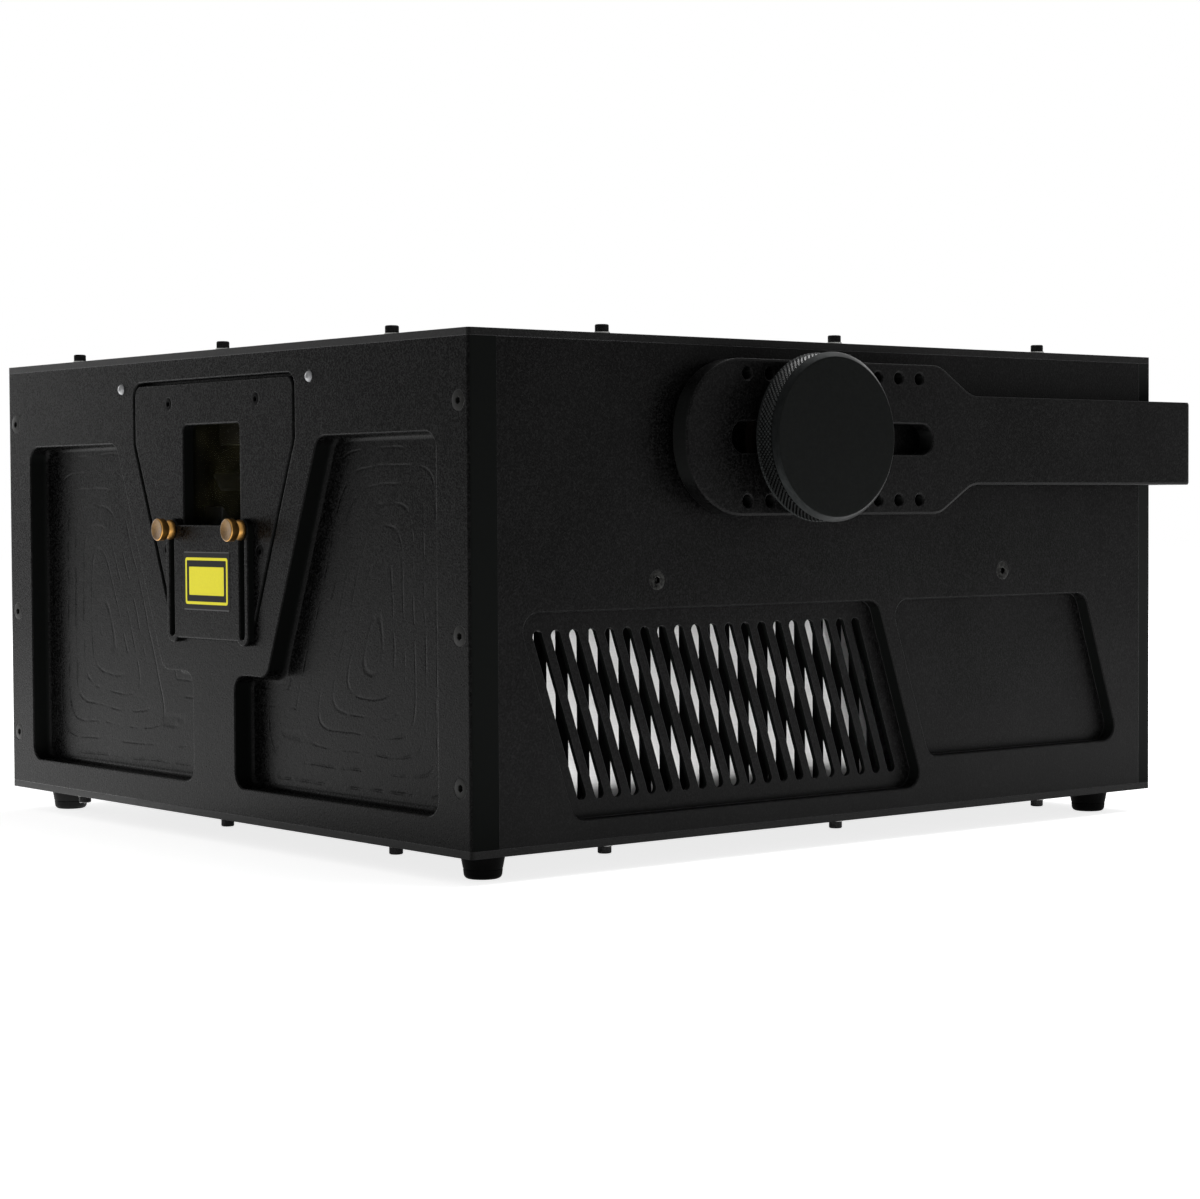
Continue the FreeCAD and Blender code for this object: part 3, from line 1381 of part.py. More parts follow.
def panel_socket(label, spots):
    """Panel sockets: a flange outside, a barrel inside and a bore for the plug."""
    piece = Piece(label)
    flange_face = rear + size.socket_flange_thickness
    flanges = piece.draw("XZ", rear)
    for spot in spots:
        flanges.block(spot, size.socket_flange_width, size.socket_flange_height)
    piece.pad(flanges, size.socket_flange_thickness)
    corners = [(x + i * size.socket_flange_width / 2, z + j * size.socket_flange_height / 2)
               for x, z in spots for i in (-1, 1) for j in (-1, 1)]
    piece.soften(piece.edges("Y", corners), size.socket_flange_round)
    piece.pad(piece.draw("XZ", rear).circles(spots, size.socket_barrel), size.socket_barrel_length, -1)
    bores = piece.draw("XZ", flange_face).circles(spots, size.socket_bore)
    piece.cut(bores, size.socket_bore_depth, -1)
    return piece.body


def signal_socket():
    """Wide signal socket with a shell through the rear plate."""
    piece = Piece("signal_socket")
    spot = (size.signal_place, panel_low_z)
    flange = piece.draw("XZ", rear_inner).block(spot, size.signal_width, size.signal_height)
    piece.pad(flange, size.signal_body_depth, -1)
    shell = piece.draw("XZ", rear_inner).block(spot, size.signal_shell_width, size.signal_shell_height)
    piece.pad(shell, size.rear_thickness + size.signal_shell_proud)
    return piece.body


def fuse_holder():
    """Round fuse holder with a cap outside the panel."""
    piece = Piece("fuse_holder")
    barrel, cap = size.fuse_diameter / 2, size.fuse_cap_diameter / 2
    top = size.fuse_length + size.fuse_cap_height
    piece.turn([(0, 0), (barrel, 0), (barrel, size.fuse_length), (cap, size.fuse_length), (cap, top),
                (0, top)])
    return piece.place((size.fuse_place, rear - size.fuse_length, panel_z), BACKWARD).body


def key_switch():
    """Key switch barrel with a ring outside the panel and a keyway."""
    piece = Piece("key_switch")
    barrel, ring = size.key_barrel / 2, size.key_ring_diameter / 2
    face = size.key_length + size.key_ring_height
    piece.turn([(0, 0), (barrel, 0), (barrel, size.key_length), (ring, size.key_length), (ring, face),
                (0, face)])
    bore = size.key_blade + 2 * size.socket_fit
    piece.cut(piece.draw("XY", face).circles([(0, 0)], bore), size.key_blade_depth, -1)
    return piece.place((size.key_place, rear - size.key_length, panel_z), BACKWARD).body


def key():
    """Key in the switch: a round blade and a flat bow."""
    piece = Piece("key")
    face = rear + size.key_ring_height
    spot = (size.key_place, panel_z)
    blade = piece.draw("XZ", face).circles([spot], size.key_blade)
    piece.pad(blade, size.key_blade_depth - size.socket_fit, -1)
    bow = piece.draw("XZ", face + size.socket_fit)
    bow.block(spot, size.key_blade_thickness, size.key_bow_height)
    piece.pad(bow, size.key_bow)
    neck = piece.draw("XZ", face).circles([spot], size.key_blade)
    piece.pad(neck, size.key_blade_thickness)
    return piece.body


def build():
    """Makes every sub-part and gives them in order."""
    fan_lines = (("front", fan_line - fan_step), ("rear", fan_line + fan_step))
    nodes = [
        front_plate(), rear_plate(), side_plate(1), side_plate(-1),
        cover("top_cover", plate_high, []), cover("base_cover", floor, foot_spots),
        cover_screws(), cover_washers(),
        countersunk_screws("front_plate_screws", front, plate_screw_spots, 1, "plate_screw"),
        countersunk_screws("rear_plate_screws", rear, plate_screw_spots, -1, "plate_screw"),
        bench_screws(), aperture_cover(),
        countersunk_screws("aperture_cover_screws", front, shield_screw_spots, 1, "shield_screw"),
        aperture_glass(), mask_plate(), thumbscrew(1), thumbscrew(-1), status_leds(),
        rubber_feet(), foot_screws(), yoke_bracket(), clamp_bush(), friction_discs(), clamp_washers(),
        pivot_studs(), knob(1), knob(-1), optical_bench(), heat_sink(),
        mirror_mounts(), combining_mirrors(), fold_mirror(), scanner_block(),
        galvo_motor("vertical_galvo", vertical_spot, vertical_turn),
        galvo_mirror("vertical_mirror", vertical_spot, vertical_turn),
        galvo_motor("horizontal_galvo", horizontal_spot, horizontal_turn),
        galvo_mirror("horizontal_mirror", horizontal_spot, horizontal_turn),
        shutter_motor(), shutter_flag(), board_standoffs(), power_supply(), laser_driver(),
        signal_socket(), fuse_holder(), key_switch(), key(),
    ]
    nodes += [fan_frame(*plan) for plan in fan_lines]
    nodes += [fan_rotor(*plan) for plan in fan_lines]
    nodes += [laser_module(colour, number) for number, colour in enumerate(LASERS)]
    nodes += [circuit_board(label) for label in BOARDS]
    nodes += [panel_socket(*plan) for plan in socket_groups()]
    return nodes


def check(nodes):
    """Stops if anything in the document failed or a sub-part has no valid solid."""
    failed = [item.Label for item in doc.Objects if {"Invalid", "Error"} & set(item.State)]
    failed += [node.Label for node in nodes
               if node.Shape.isNull() or not node.Shape.isValid() or not node.Shape.Solids]
    if failed:
        raise RuntimeError("failed: " + ", ".join(failed))


nodes = build()
doc.recompute()
check(nodes)
os.makedirs("parts", exist_ok=True)
for node in nodes:
    node.Shape.exportStep(f"parts/{node.Label}.step")
print(len(nodes), "sub-parts written")
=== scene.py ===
"""Looks of a laser show projector: its finishes, fine fittings, light and camera.

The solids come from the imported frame. This script dresses them, puts finer pieces in the place of the
plain fasteners, knobs, feet and sockets, and sets up the studio around them. Places are in metres.
Outlines and profiles are in millimetres.
"""
from __future__ import annotations

import logging
import math
from dataclasses import dataclass, replace
from enum import Enum
from typing import Any, Sequence, Union

import bpy
import numpy as np
from mathutils import Matrix, Vector

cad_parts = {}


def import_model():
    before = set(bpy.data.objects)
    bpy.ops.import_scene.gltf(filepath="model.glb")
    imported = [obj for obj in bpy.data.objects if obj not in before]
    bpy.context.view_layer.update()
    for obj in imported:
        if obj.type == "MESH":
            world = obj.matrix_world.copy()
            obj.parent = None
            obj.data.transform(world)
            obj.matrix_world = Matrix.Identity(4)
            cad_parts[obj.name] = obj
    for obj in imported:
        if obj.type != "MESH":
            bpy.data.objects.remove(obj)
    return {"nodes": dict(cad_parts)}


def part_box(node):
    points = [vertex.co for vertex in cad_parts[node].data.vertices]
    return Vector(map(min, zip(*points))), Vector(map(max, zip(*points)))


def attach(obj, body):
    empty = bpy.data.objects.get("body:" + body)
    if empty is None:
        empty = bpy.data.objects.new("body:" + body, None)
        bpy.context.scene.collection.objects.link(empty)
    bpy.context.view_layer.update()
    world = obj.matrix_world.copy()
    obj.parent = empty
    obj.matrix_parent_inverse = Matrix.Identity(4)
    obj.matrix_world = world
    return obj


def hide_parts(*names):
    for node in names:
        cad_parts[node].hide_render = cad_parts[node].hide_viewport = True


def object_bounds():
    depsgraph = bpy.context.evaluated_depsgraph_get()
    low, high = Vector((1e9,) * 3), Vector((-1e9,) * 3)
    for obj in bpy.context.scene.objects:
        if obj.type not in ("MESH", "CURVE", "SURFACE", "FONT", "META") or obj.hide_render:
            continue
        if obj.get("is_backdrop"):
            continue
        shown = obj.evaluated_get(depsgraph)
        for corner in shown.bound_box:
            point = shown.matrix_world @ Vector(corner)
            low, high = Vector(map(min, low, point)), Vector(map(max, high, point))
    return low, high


LOG = logging.getLogger("projector")
MM = 0.001
SHARP = math.radians(32)
SIDES = (-1, 1)
ROUND = 48
SMOOTH = 64
FINE = 96
Colour = tuple[float, float, float]
Spot = tuple[float, float, float]
Size = tuple[float, float]
ScrewSize = tuple[float, float, float, float]
EVEN: Spot = (1.0, 1.0, 1.0)
RIGHT: Spot = (1.0, 0.0, 0.0)
LEFT: Spot = (-1.0, 0.0, 0.0)
FRONTWARD: Spot = (0.0, -1.0, 0.0)
REARWARD: Spot = (0.0, 1.0, 0.0)
UPWARD: Spot = (0.0, 0.0, 1.0)
DOWNWARD: Spot = (0.0, 0.0, -1.0)


def grey(level: float) -> Colour:
    """A colour with its three parts alike."""
    return level, level, level


class Signal:
    """A shader socket that takes part in Python arithmetic."""

    def __init__(self, tree: Tree, socket: bpy.types.NodeSocket) -> None:
        """Keeps the socket and the tree that it belongs to."""
        self.tree = tree
        self.socket = socket

    def _math(self, operation: str, *values: Value) -> Signal:
        """Adds one Math node on some values and gives its result."""
        return self.tree.signal("ShaderNodeMath", {"operation": operation}, dict(enumerate(values)))

    def __add__(self, other: Value) -> Signal:
        """Sum of two values."""
        return self._math("ADD", self, other)

    __radd__ = __add__

    def __sub__(self, other: Value) -> Signal:
        """Difference of two values."""
        return self._math("SUBTRACT", self, other)

    def __rsub__(self, other: Value) -> Signal:
        """Difference of a number and this value."""
        return self._math("SUBTRACT", other, self)

    def __mul__(self, other: Value) -> Signal:
        """Product of two values."""
        return self._math("MULTIPLY", self, other)

    __rmul__ = __mul__

    def __truediv__(self, other: Value) -> Signal:
        """Quotient of two values."""
        return self._math("DIVIDE", self, other)

    def __abs__(self) -> Signal:
        """Size of a value without its sign."""
        return self._math("ABSOLUTE", self)

    def least(self, other: Value) -> Signal:
        """Smaller of two values."""
        return self._math("MINIMUM", self, other)

    def most(self, other: Value) -> Signal:
        """Larger of two values."""
        return self._math("MAXIMUM", self, other)

    def soft_least(self, other: Value, reach: float) -> Signal:
        """Smaller of two values, rounded over where they come within a reach of each other."""
        return self._math("SMOOTH_MIN", self, other, reach)

    def fraction(self) -> Signal:
        """What is left of a value after its whole part."""
        return self._math("FRACT", self)

    def power(self, exponent: float) -> Signal:
        """This value raised to an exponent."""
        return self._math("POWER", self, exponent)

    def rise(self, low: float, high: float) -> Signal:
        """Smooth step from 0 at a low value to 1 at a high one."""
        inputs = {"Value": self, "From Min": low, "From Max": high}
        return self.tree.signal("ShaderNodeMapRange", {"interpolation_type": "SMOOTHSTEP"}, inputs)


Value = Union[Signal, float]


class Tree:
    """A node tree, filled through one method for any kind of node."""

    def __init__(self, nodes: bpy.types.NodeTree) -> None:
        """Empties a node tree to start afresh."""
        self.nodes = nodes
        self.nodes.nodes.clear()

    def node(self, kind: str, settings: dict[str, Any] | None = None,
             inputs: dict[Any, Any] | None = None) -> bpy.types.Node:
        """Adds a node, sets it up and fills its sockets.

        Args:
            kind: the node's type name.
            settings: the node's own settings, which are set first.
            inputs: sockets by name or number, each with a value or a signal.

        Returns:
            The new node.
        """
        node = self.nodes.nodes.new(kind)
        for name, value in (settings or {}).items():
            setattr(node, name, value)
        for key, value in (inputs or {}).items():
            if isinstance(value, Signal):
                self.nodes.links.new(value.socket, node.inputs[key])
            else:
                node.inputs[key].default_value = value
        return node

    def signal(self, kind: str, settings: dict[str, Any] | None = None,
               inputs: dict[Any, Any] | None = None, output: Any = 0) -> Signal:
        """Adds a node in the same way and takes its output of a given name or number."""
        return Signal(self, self.node(kind, settings, inputs).outputs[output])

    def place(self) -> Signal:
        """Place on the piece, in metres."""
        return self.signal("ShaderNodeTexCoord", output="Object")

    def part(self, vector: Signal, axis: str) -> Signal:
        """One coordinate of a vector, by its axis: X, Y or Z."""
        return self.signal("ShaderNodeSeparateXYZ", inputs={0: vector}, output=axis)

    def along(self, axis: str) -> Signal:
        """Place on the piece along one axis."""
        return self.part(self.place(), axis)

    def faces(self, axis: str, low: float, high: float) -> Signal:
        """1 where the surface faces along an axis, either way: a step of the cosine between two values."""
        return abs(self.part(self.signal("ShaderNodeTexCoord", output="Normal"), axis)).rise(low, high)

    def noise(self, feature: float, detail: float = 2.0, stretch: Spot = EVEN) -> Signal:
        """Cloudy noise with features of about a given size.

        Args:
            feature: size of its features in metres.
            detail: number of finer layers.
            stretch: how much finer it is along each axis.

        Returns:
            Noise about 0.5.
        """
        place = self.place()
        if stretch != EVEN:
            place = self.signal("ShaderNodeMapping", inputs={"Vector": place, "Scale": stretch})
        inputs = {"Vector": place, "Scale": 1.0 / feature, "Detail": detail}
        return self.signal("ShaderNodeTexNoise", inputs=inputs)

    def speckle(self, size: float) -> Signal:
        """Random value from 0 to 1 for each cell of the surface, of about a given size in metres."""
        inputs = {"Vector": self.place(), "Scale": 1.0 / size}
        return self.signal("ShaderNodeSeparateColor", inputs={
            0: self.signal("ShaderNodeTexVoronoi", inputs=inputs, output="Color")})

    def blend(self, share: Value, first: Union[Signal, Colour], second: Union[Signal, Colour]) -> Signal:
        """Mixes two colours.

        Args:
            share: how much of the second colour shows.
            first: the first colour.
            second: the second colour.

        Returns:
            The mixed colour.
        """
        colours = [item if isinstance(item, Signal) else (*item, 1.0) for item in (first, second)]
        inputs = {0: share, 6: colours[0], 7: colours[1]}
        return self.signal("ShaderNodeMix", {"data_type": "RGBA"}, inputs, 2)

    def softened(self, radius: float) -> Signal:
        """Normal of the surface with its edges rounded off by a radius."""
        return self.signal("ShaderNodeBevel", {"samples": 6}, {"Radius": radius})

    def edge(self, rounded: Signal) -> Signal:
        """Finds the edges: where the rounded normal leaves the true one.

        Args:
            rounded: the normal with its edges rounded off.

        Returns:
            0 on flat faces, up to 1 on an edge.
        """
        true = self.signal("ShaderNodeNewGeometry", output="Normal")
        inputs = {0: rounded, 1: true}
        agreement = self.signal("ShaderNodeVectorMath", {"operation": "DOT_PRODUCT"}, inputs, 1)
        return (1.0 - agreement).rise(0.01, 0.2)

    def bump(self, height: Signal, depth: float, strength: float, normal: Signal | None = None) -> Signal:
        """Tilts the surface's normal by a height pattern.

        Args:
            height: the pattern, about 0 to 1.
            depth: what 1 of it means, in metres.
            strength: how much of the tilt is used.
            normal: the normal to start from.

        Returns:
            The tilted normal.
        """
        inputs: dict[str, Any] = {"Height": height, "Distance": depth, "Strength": strength}
        if normal is not None:
            inputs["Normal"] = normal
        return self.signal("ShaderNodeBump", inputs=inputs)


@dataclass(frozen=True)
class Finish:
    """A surface finish: one material, made the first time that it is asked for."""

    name: str

    def material(self) -> bpy.types.Material:
        """Gives the finish's material, making it if need be.

        Returns:
            The material.
        """
        label = f"{self.name}_finish"
        made = bpy.data.materials.get(label)
        if made is not None:
            return made
        material = bpy.data.materials.new(label)
        material.use_nodes = True
        tree = Tree(material.node_tree)
        shader = tree.signal("ShaderNodeBsdfPrincipled", inputs=self.surface(tree))
        tree.node("ShaderNodeOutputMaterial", inputs={"Surface": self.cover(tree, shader)})
        return material

    def tint(self, tree: Tree, colour: Signal) -> Signal:
        """Place for a kind of finish to change its colour."""
        return colour

    def cover(self, tree: Tree, shader: Signal) -> Signal:
        """Place for a kind of finish to lay a second shader over the first."""
        return shader

    def surface(self, tree: Tree) -> dict[str, Any]:
        """Works out the shader's inputs.

        Args:
            tree: the material's node tree.

        Returns:
            Values and links for the shader's sockets, by name.
        """
        raise NotImplementedError


@dataclass(frozen=True)
class Anodised(Finish):
    """Bead-blasted black anodised aluminium: sparkling grain, slow clouds, painted edge highlights and
    painted wall shade.
    """

    dark: Colour = grey(0.0003)
    light: Colour = grey(0.0078)
    # rim is the colour of the painted highlight along edges.
    rim: Colour = (0.028, 0.028, 0.029)
    roughness: float = 0.40
    gloss: float = 0.07
    grain: float = 0.7
    grain_size: float = 0.7 * MM
    grain_depth: float = 0.12 * MM
    speck_size: float = 0.6 * MM
    cloud_size: float = 45 * MM
    edge_radius: float = 0.45 * MM
    # How metallic the painted edge highlight is.
    edge_highlight_metal: float = 0.7
    # Painted shade on faces along an axis: the facing limits, its matt colour and its roughness.
    painted_shade_axis: str = ""
    painted_shade_limits: Size = (0.75, 0.92)
    wall: Colour = (0.0052, 0.0057, 0.0054)
    painted_shade_roughness: float = 0.8

    def relief(self, tree: Tree, height: Signal) -> Signal:
        """Place for a kind of this finish to add to its grain."""
        return height

    def cover(self, tree: Tree, shader: Signal) -> Signal:
        """Lays painted shade, a matt black without reflection, over pocket walls and plate edges that face
        along one axis.

        Args:
            tree: the material's node tree.
            shader: the shader of the other faces.

        Returns:
            Both shaders together.
        """
        if not self.painted_shade_axis:
            return shader
        # The painted shade: a matt black without reflection.
        matt = tree.signal("ShaderNodeBsdfPrincipled", inputs={
            "Base Color": (*self.wall, 1.0),
            "Roughness": self.painted_shade_roughness,
            "Specular IOR Level": 0.0,
        })
        wall = tree.faces(self.painted_shade_axis, *self.painted_shade_limits)
        return tree.signal("ShaderNodeMixShader", inputs={0: wall, 1: shader, 2: matt})

    def surface(self, tree: Tree) -> dict[str, Any]:
        """Grain and clouds mix two blacks. Edges get a painted highlight: a brighter metal colour laid along
        them.

        Args:
            tree: the material's node tree.

        Returns:
            Values and links for the shader's sockets, by name.
        """
        speck = tree.speckle(self.speck_size)
        grain = tree.noise(self.grain_size)
        slow = tree.noise(self.cloud_size, 4.0)
        share = (speck.power(2.0) * 0.8 + grain * 0.5 + slow * 0.5 - 0.42).most(0.0).least(1.0)
        rounded = tree.softened(self.edge_radius)
        # Painted highlight along the edges, broken up by the grain.
        edge_highlight = tree.edge(rounded) * grain.rise(0.1, 0.7)
        colour = self.tint(tree, tree.blend(share, self.dark, self.light))
        return {
            "Base Color": tree.blend(edge_highlight, colour, self.rim),
            "Metallic": edge_highlight * self.edge_highlight_metal,
            "Roughness": grain * 0.2 + speck * 0.12 + (self.roughness - 0.16),
            "Specular IOR Level": self.gloss,
            "Normal": tree.bump(self.relief(tree, grain), self.grain_depth, self.grain, rounded),
        }


@dataclass(frozen=True)
class MilledFront(Anodised):
    """The front plate's finish, with the cutter's paths on the pocket floors."""

    pocket_floor: float = 0.0
    outer: float = 163.5 * MM
    top: float = 172.0 * MM
    base: float = 25.0 * MM
    step: float = 72.5 * MM
    stem: float = 17.0 * MM
    inner_top: float = 82.0 * MM
    wall_lean: float = 0.3988
    pass_width: float = 7.4 * MM
    corner: float = 22 * MM
    wander: float = 5.0 * MM
    wander_size: float = 40 * MM
    break_size: float = 11 * MM
    groove: Colour = grey(0.0004)
    groove_share: float = 0.8
    groove_depth: float = 1.1

    def _depth_in_pocket(self, tree: Tree) -> Signal:
        """Distance from a pocket's walls: the least over them, rounded off where two are as near.

        Args:
            tree: the material's node tree.

        Returns:
            The distance in metres.
        """
        across, up = abs(tree.along("X")), tree.along("Z")
        length = math.hypot(1.0, self.wall_lean)
        slant = (across - self.inner_top + (self.top - up) * self.wall_lean) / length
        inner = slant.most((across - self.stem).least(self.step - up))
        depth = inner.soft_least(self.outer - across, self.corner)
        return depth.soft_least(self.top - up, self.corner).soft_least(up - self.base, self.corner)

    def _pass_edge(self, tree: Tree) -> Signal:
        """Broken thin lines on the pocket floors, where the distance from the walls nears a whole pass.

        Args:
            tree: the material's node tree.

        Returns:
            1 on a line, 0 elsewhere.
        """
        depth = self._depth_in_pocket(tree) + tree.noise(self.wander_size) * self.wander
        line = abs((depth / self.pass_width).fraction() * 2.0 - 1.0).rise(0.78, 1.0)
        broken = tree.noise(self.break_size).rise(0.40, 0.60)
        on_floor = tree.along("Y").rise(self.pocket_floor - 0.6 * MM, self.pocket_floor - 0.2 * MM)
        return line * broken * on_floor

    def tint(self, tree: Tree, colour: Signal) -> Signal:
        """Draws the lines between the cutter's passes darker."""
        return tree.blend(self._pass_edge(tree) * self.groove_share, colour, self.groove)

    def relief(self, tree: Tree, height: Signal) -> Signal:
        """Sinks the lines between the cutter's passes."""
        return height - self._pass_edge(tree) * self.groove_depth


@dataclass(frozen=True)
class Knurled(Finish):
    """Turned black aluminium: a dull blasted face, and a brighter machined bevel and knurl."""

    gloss: float = 0.026
    face_limits: Size = (0.86, 0.97)
    knurl_limits: Size = (0.3, 0.6)
    grain_size: float = 1.1 * MM
    ring_size: float = 0.6 * MM
    face: tuple[Colour, Colour] = ((0.0008, 0.0010, 0.0009), (0.0040, 0.0046, 0.0043))
    metal: tuple[Colour, Colour] = ((0.003, 0.0034, 0.0034), (0.013, 0.0136, 0.0136))

    def surface(self, tree: Tree) -> dict[str, Any]:
        """The face looks along X; all that doesn't is machined metal with the lathe's fine rings.

        Args:
            tree: the material's node tree.

        Returns:
            Values and links for the shader's sockets, by name.
        """
        machined = 1.0 - tree.faces("X", *self.face_limits)
        knurl = 1.0 - tree.faces("X", *self.knurl_limits)
        grain = tree.noise(self.grain_size, 3.0)
        rings = tree.noise(self.ring_size, 1.0, (1.0, 0.2, 0.2))
        face = tree.blend(grain, *self.face)
        metal = tree.blend(rings * 0.6 + knurl * 0.8, *self.metal)
        return {
            "Base Color": tree.blend(machined, face, metal),
            "Metallic": machined,
            "Roughness": grain * 0.2 + 0.34 - machined * 0.12,
            "Specular IOR Level": self.gloss,
            "Normal": tree.bump(grain + rings * 0.4, 0.1 * MM, 0.4, tree.softened(0.2 * MM)),
        }


@dataclass(frozen=True)
class FinMetal(Finish):
    """Heat sink: black anodised, with bare sawn ends."""

    bare: tuple[Colour, Colour] = ((0.62, 0.62, 0.61), (0.78, 0.78, 0.77))
    black: tuple[Colour, Colour] = (grey(0.004), grey(0.01))
    end_limits: Size = (0.85, 0.95)
    line_size: float = 0.5 * MM
    grain_size: float = 1.2 * MM

    def surface(self, tree: Tree) -> dict[str, Any]:
        """The ends face left or right, and show saw lines.

        Args:
            tree: the material's node tree.

        Returns:
            Values and links for the shader's sockets, by name.
        """
        end = tree.faces("X", *self.end_limits)
        lines = tree.noise(self.line_size, 2.0, (1.0, 0.05, 1.0))
        black = tree.blend(tree.noise(self.grain_size), *self.black)
        return {
            "Base Color": tree.blend(end, black, tree.blend(lines, *self.bare)),
            "Metallic": end * 0.85,
            "Roughness": 0.42 - end * 0.12 + lines * 0.1,
            "Specular IOR Level": 0.3,
            "Normal": tree.bump(lines * end, 0.05 * MM, 0.4),
        }


@dataclass(frozen=True)
class Metal(Finish):
    """Bare or plated metal with a fine grain and rounded edges."""

    dark: Colour = grey(0.3)
    light: Colour = grey(0.5)
    roughness: float = 0.3
    grain_size: float = 0.5 * MM
    grain: float = 0.15
    edge_radius: float = 0.15 * MM
    stain_size: float = 4 * MM

    def surface(self, tree: Tree) -> dict[str, Any]:
        """Grain mixes two tones and varies the roughness.

        Args:
            tree: the material's node tree.

        Returns:
            Values and links for the shader's sockets, by name.
        """
        grain = tree.noise(self.grain_size, 3.0)
        stain = tree.noise(self.stain_size)
        colour = tree.blend((grain * 0.6 + stain * 0.4).rise(0.3, 0.7), self.dark, self.light)
        return {
            "Base Color": self.tint(tree, colour),
            "Metallic": 1.0,
            "Roughness": grain * 0.14 + stain * 0.1 + (self.roughness - 0.12),
            "Normal": tree.bump(grain, 0.03 * MM, self.grain, tree.softened(self.edge_radius)),
        }


@dataclass(frozen=True)
class TurnedMetalWithPaintedLight(Metal):
    """Metal turned on a lathe, with a painted highlight on the sides and painted shade on the face, which
    looks along Y.
    """

    # Painted highlight colour of the sides.
    side: Colour = (0.38, 0.2, 0.055)
    face_limits: Size = (0.7, 0.95)

    def tint(self, tree: Tree, colour: Signal) -> Signal:
        """Paints a highlight on the sides: they take a brighter colour than the face."""
        return tree.blend(tree.faces("Y", *self.face_limits), self.side, colour)


@dataclass(frozen=True)
class Moulded(Finish):
    """Moulded plastic or rubber, or a blackened screw: an even colour with a fine texture."""

    colour: Colour = grey(0.02)
    roughness: float = 0.5
    gloss: float = 0.4
    texture: float = 0.2
    texture_size: float = 0.35 * MM
    edge_radius: float = 0.25 * MM
    cloud_size: float = 9 * MM

    def surface(self, tree: Tree) -> dict[str, Any]:
        """Fine texture in the normal, slow shifts in the colour.

        Args:
            tree: the material's node tree.

        Returns:
            Values and links for the shader's sockets, by name.
        """
        texture = tree.noise(self.texture_size)
        slow = tree.noise(self.cloud_size)
        paler = tuple(min(1.0, part * 1.35 + 0.002) for part in self.colour)
        return {
            "Base Color": tree.blend((texture * 0.5 + slow * 0.5).rise(0.3, 0.75), self.colour, paler),
            "Roughness": texture * 0.12 + slow * 0.08 + (self.roughness - 0.1),
            "Specular IOR Level": self.gloss,
            "Normal": tree.bump(texture, 0.04 * MM, self.texture, tree.softened(self.edge_radius)),
        }


@dataclass(frozen=True)
class Printed(Finish):
    """Printed film: an even ink under a satin laminate."""

    ink: Colour = (0.63, 0.57, 0.018)
    roughness: float = 0.42
    gloss: float = 0.06
    ink_size: float = 1.1 * MM
    peel_size: float = 0.8 * MM

    def surface(self, tree: Tree) -> dict[str, Any]:
        """Ink with a faint unevenness, and an orange-peel laminate.

        Args:
            tree: the material's node tree.

        Returns:
            Values and links for the shader's sockets, by name.
        """
        uneven = tree.noise(self.ink_size)
        weaker = tuple(part * 0.88 for part in self.ink)
        return {
            "Base Color": tree.blend(uneven, weaker, self.ink),
            "Roughness": uneven * 0.1 + (self.roughness - 0.05),
            "Specular IOR Level": self.gloss,
            "Normal": tree.bump(tree.noise(self.peel_size, 1.0), 0.02 * MM, 0.1),
        }


@dataclass(frozen=True)
class Lens(Finish):
    """Milky lens of a status light, with a darker core."""

    centre_height: float = 0.0
    half_spacing: float = 76.3 * MM
    core_limits: Size = (0.5 * MM, 1.7 * MM)
    cloud_size: float = 0.6 * MM
    core: Colour = (0.09, 0.093, 0.096)
    milk: Colour = (0.21, 0.213, 0.22)

    def surface(self, tree: Tree) -> dict[str, Any]:
        """The core is darker within a millimetre or so of the lens's axis.

        Args:
            tree: the material's node tree.

        Returns:
            Values and links for the shader's sockets, by name.
        """
        across = abs(tree.along("X")) - self.half_spacing
        up = tree.along("Z") - self.centre_height
        off_axis = (across * across + up * up).power(0.5)
        return {
            "Base Color": tree.blend(off_axis.rise(*self.core_limits), self.core, self.milk),
            "Roughness": tree.noise(self.cloud_size) * 0.1 + 0.16,
            "Specular IOR Level": 0.5,
        }


@dataclass(frozen=True)
class Pane(Finish):
    """Anti-reflection coated window pane: almost unseen, with a trace of dust."""

    film: Colour = (0.03, 0.028, 0.012)
    dust: Colour = (0.075, 0.07, 0.032)
    dust_size: float = 14 * MM

    def surface(self, tree: Tree) -> dict[str, Any]:
        """A few percent of a dark film, a little more where dust lies.

        Args:
            tree: the material's node tree.

        Returns:
            Values and links for the shader's sockets, by name.
        """
        dusty = tree.noise(self.dust_size).rise(0.3, 0.75)
        return {
            "Base Color": tree.blend(dusty, self.film, self.dust),
            "Roughness": dusty * 0.3 + 0.05,
            "Specular IOR Level": 0.02,
            "Alpha": dusty * 0.03 + 0.025,
        }


@dataclass(frozen=True)
class Board(Finish):
    """Circuit board: green solder mask, with chips that stand above it."""

    top: float = 0.0
    mask: tuple[Colour, Colour] = ((0.006, 0.05, 0.022), (0.012, 0.09, 0.04))
    chip: Colour = (0.012, 0.012, 0.013)
    trace_size: float = 2.2 * MM

    def surface(self, tree: Tree) -> dict[str, Any]:
        """Above the board's own level the surface is a black chip.

        Args:
            tree: the material's node tree.

        Returns:
            Values and links for the shader's sockets, by name.
        """
        on_chip = tree.along("Z").rise(self.top + 0.1 * MM, self.top + 0.2 * MM)
        traces = tree.noise(self.trace_size, 1.0, (1.0, 0.25, 1.0)).rise(0.5, 0.56)
        return {
            "Base Color": tree.blend(on_chip, tree.blend(traces, *self.mask), self.chip),
            "Roughness": on_chip * 0.2 + 0.3,
            "Normal": tree.bump(traces, 0.05 * MM, 0.3),
        }


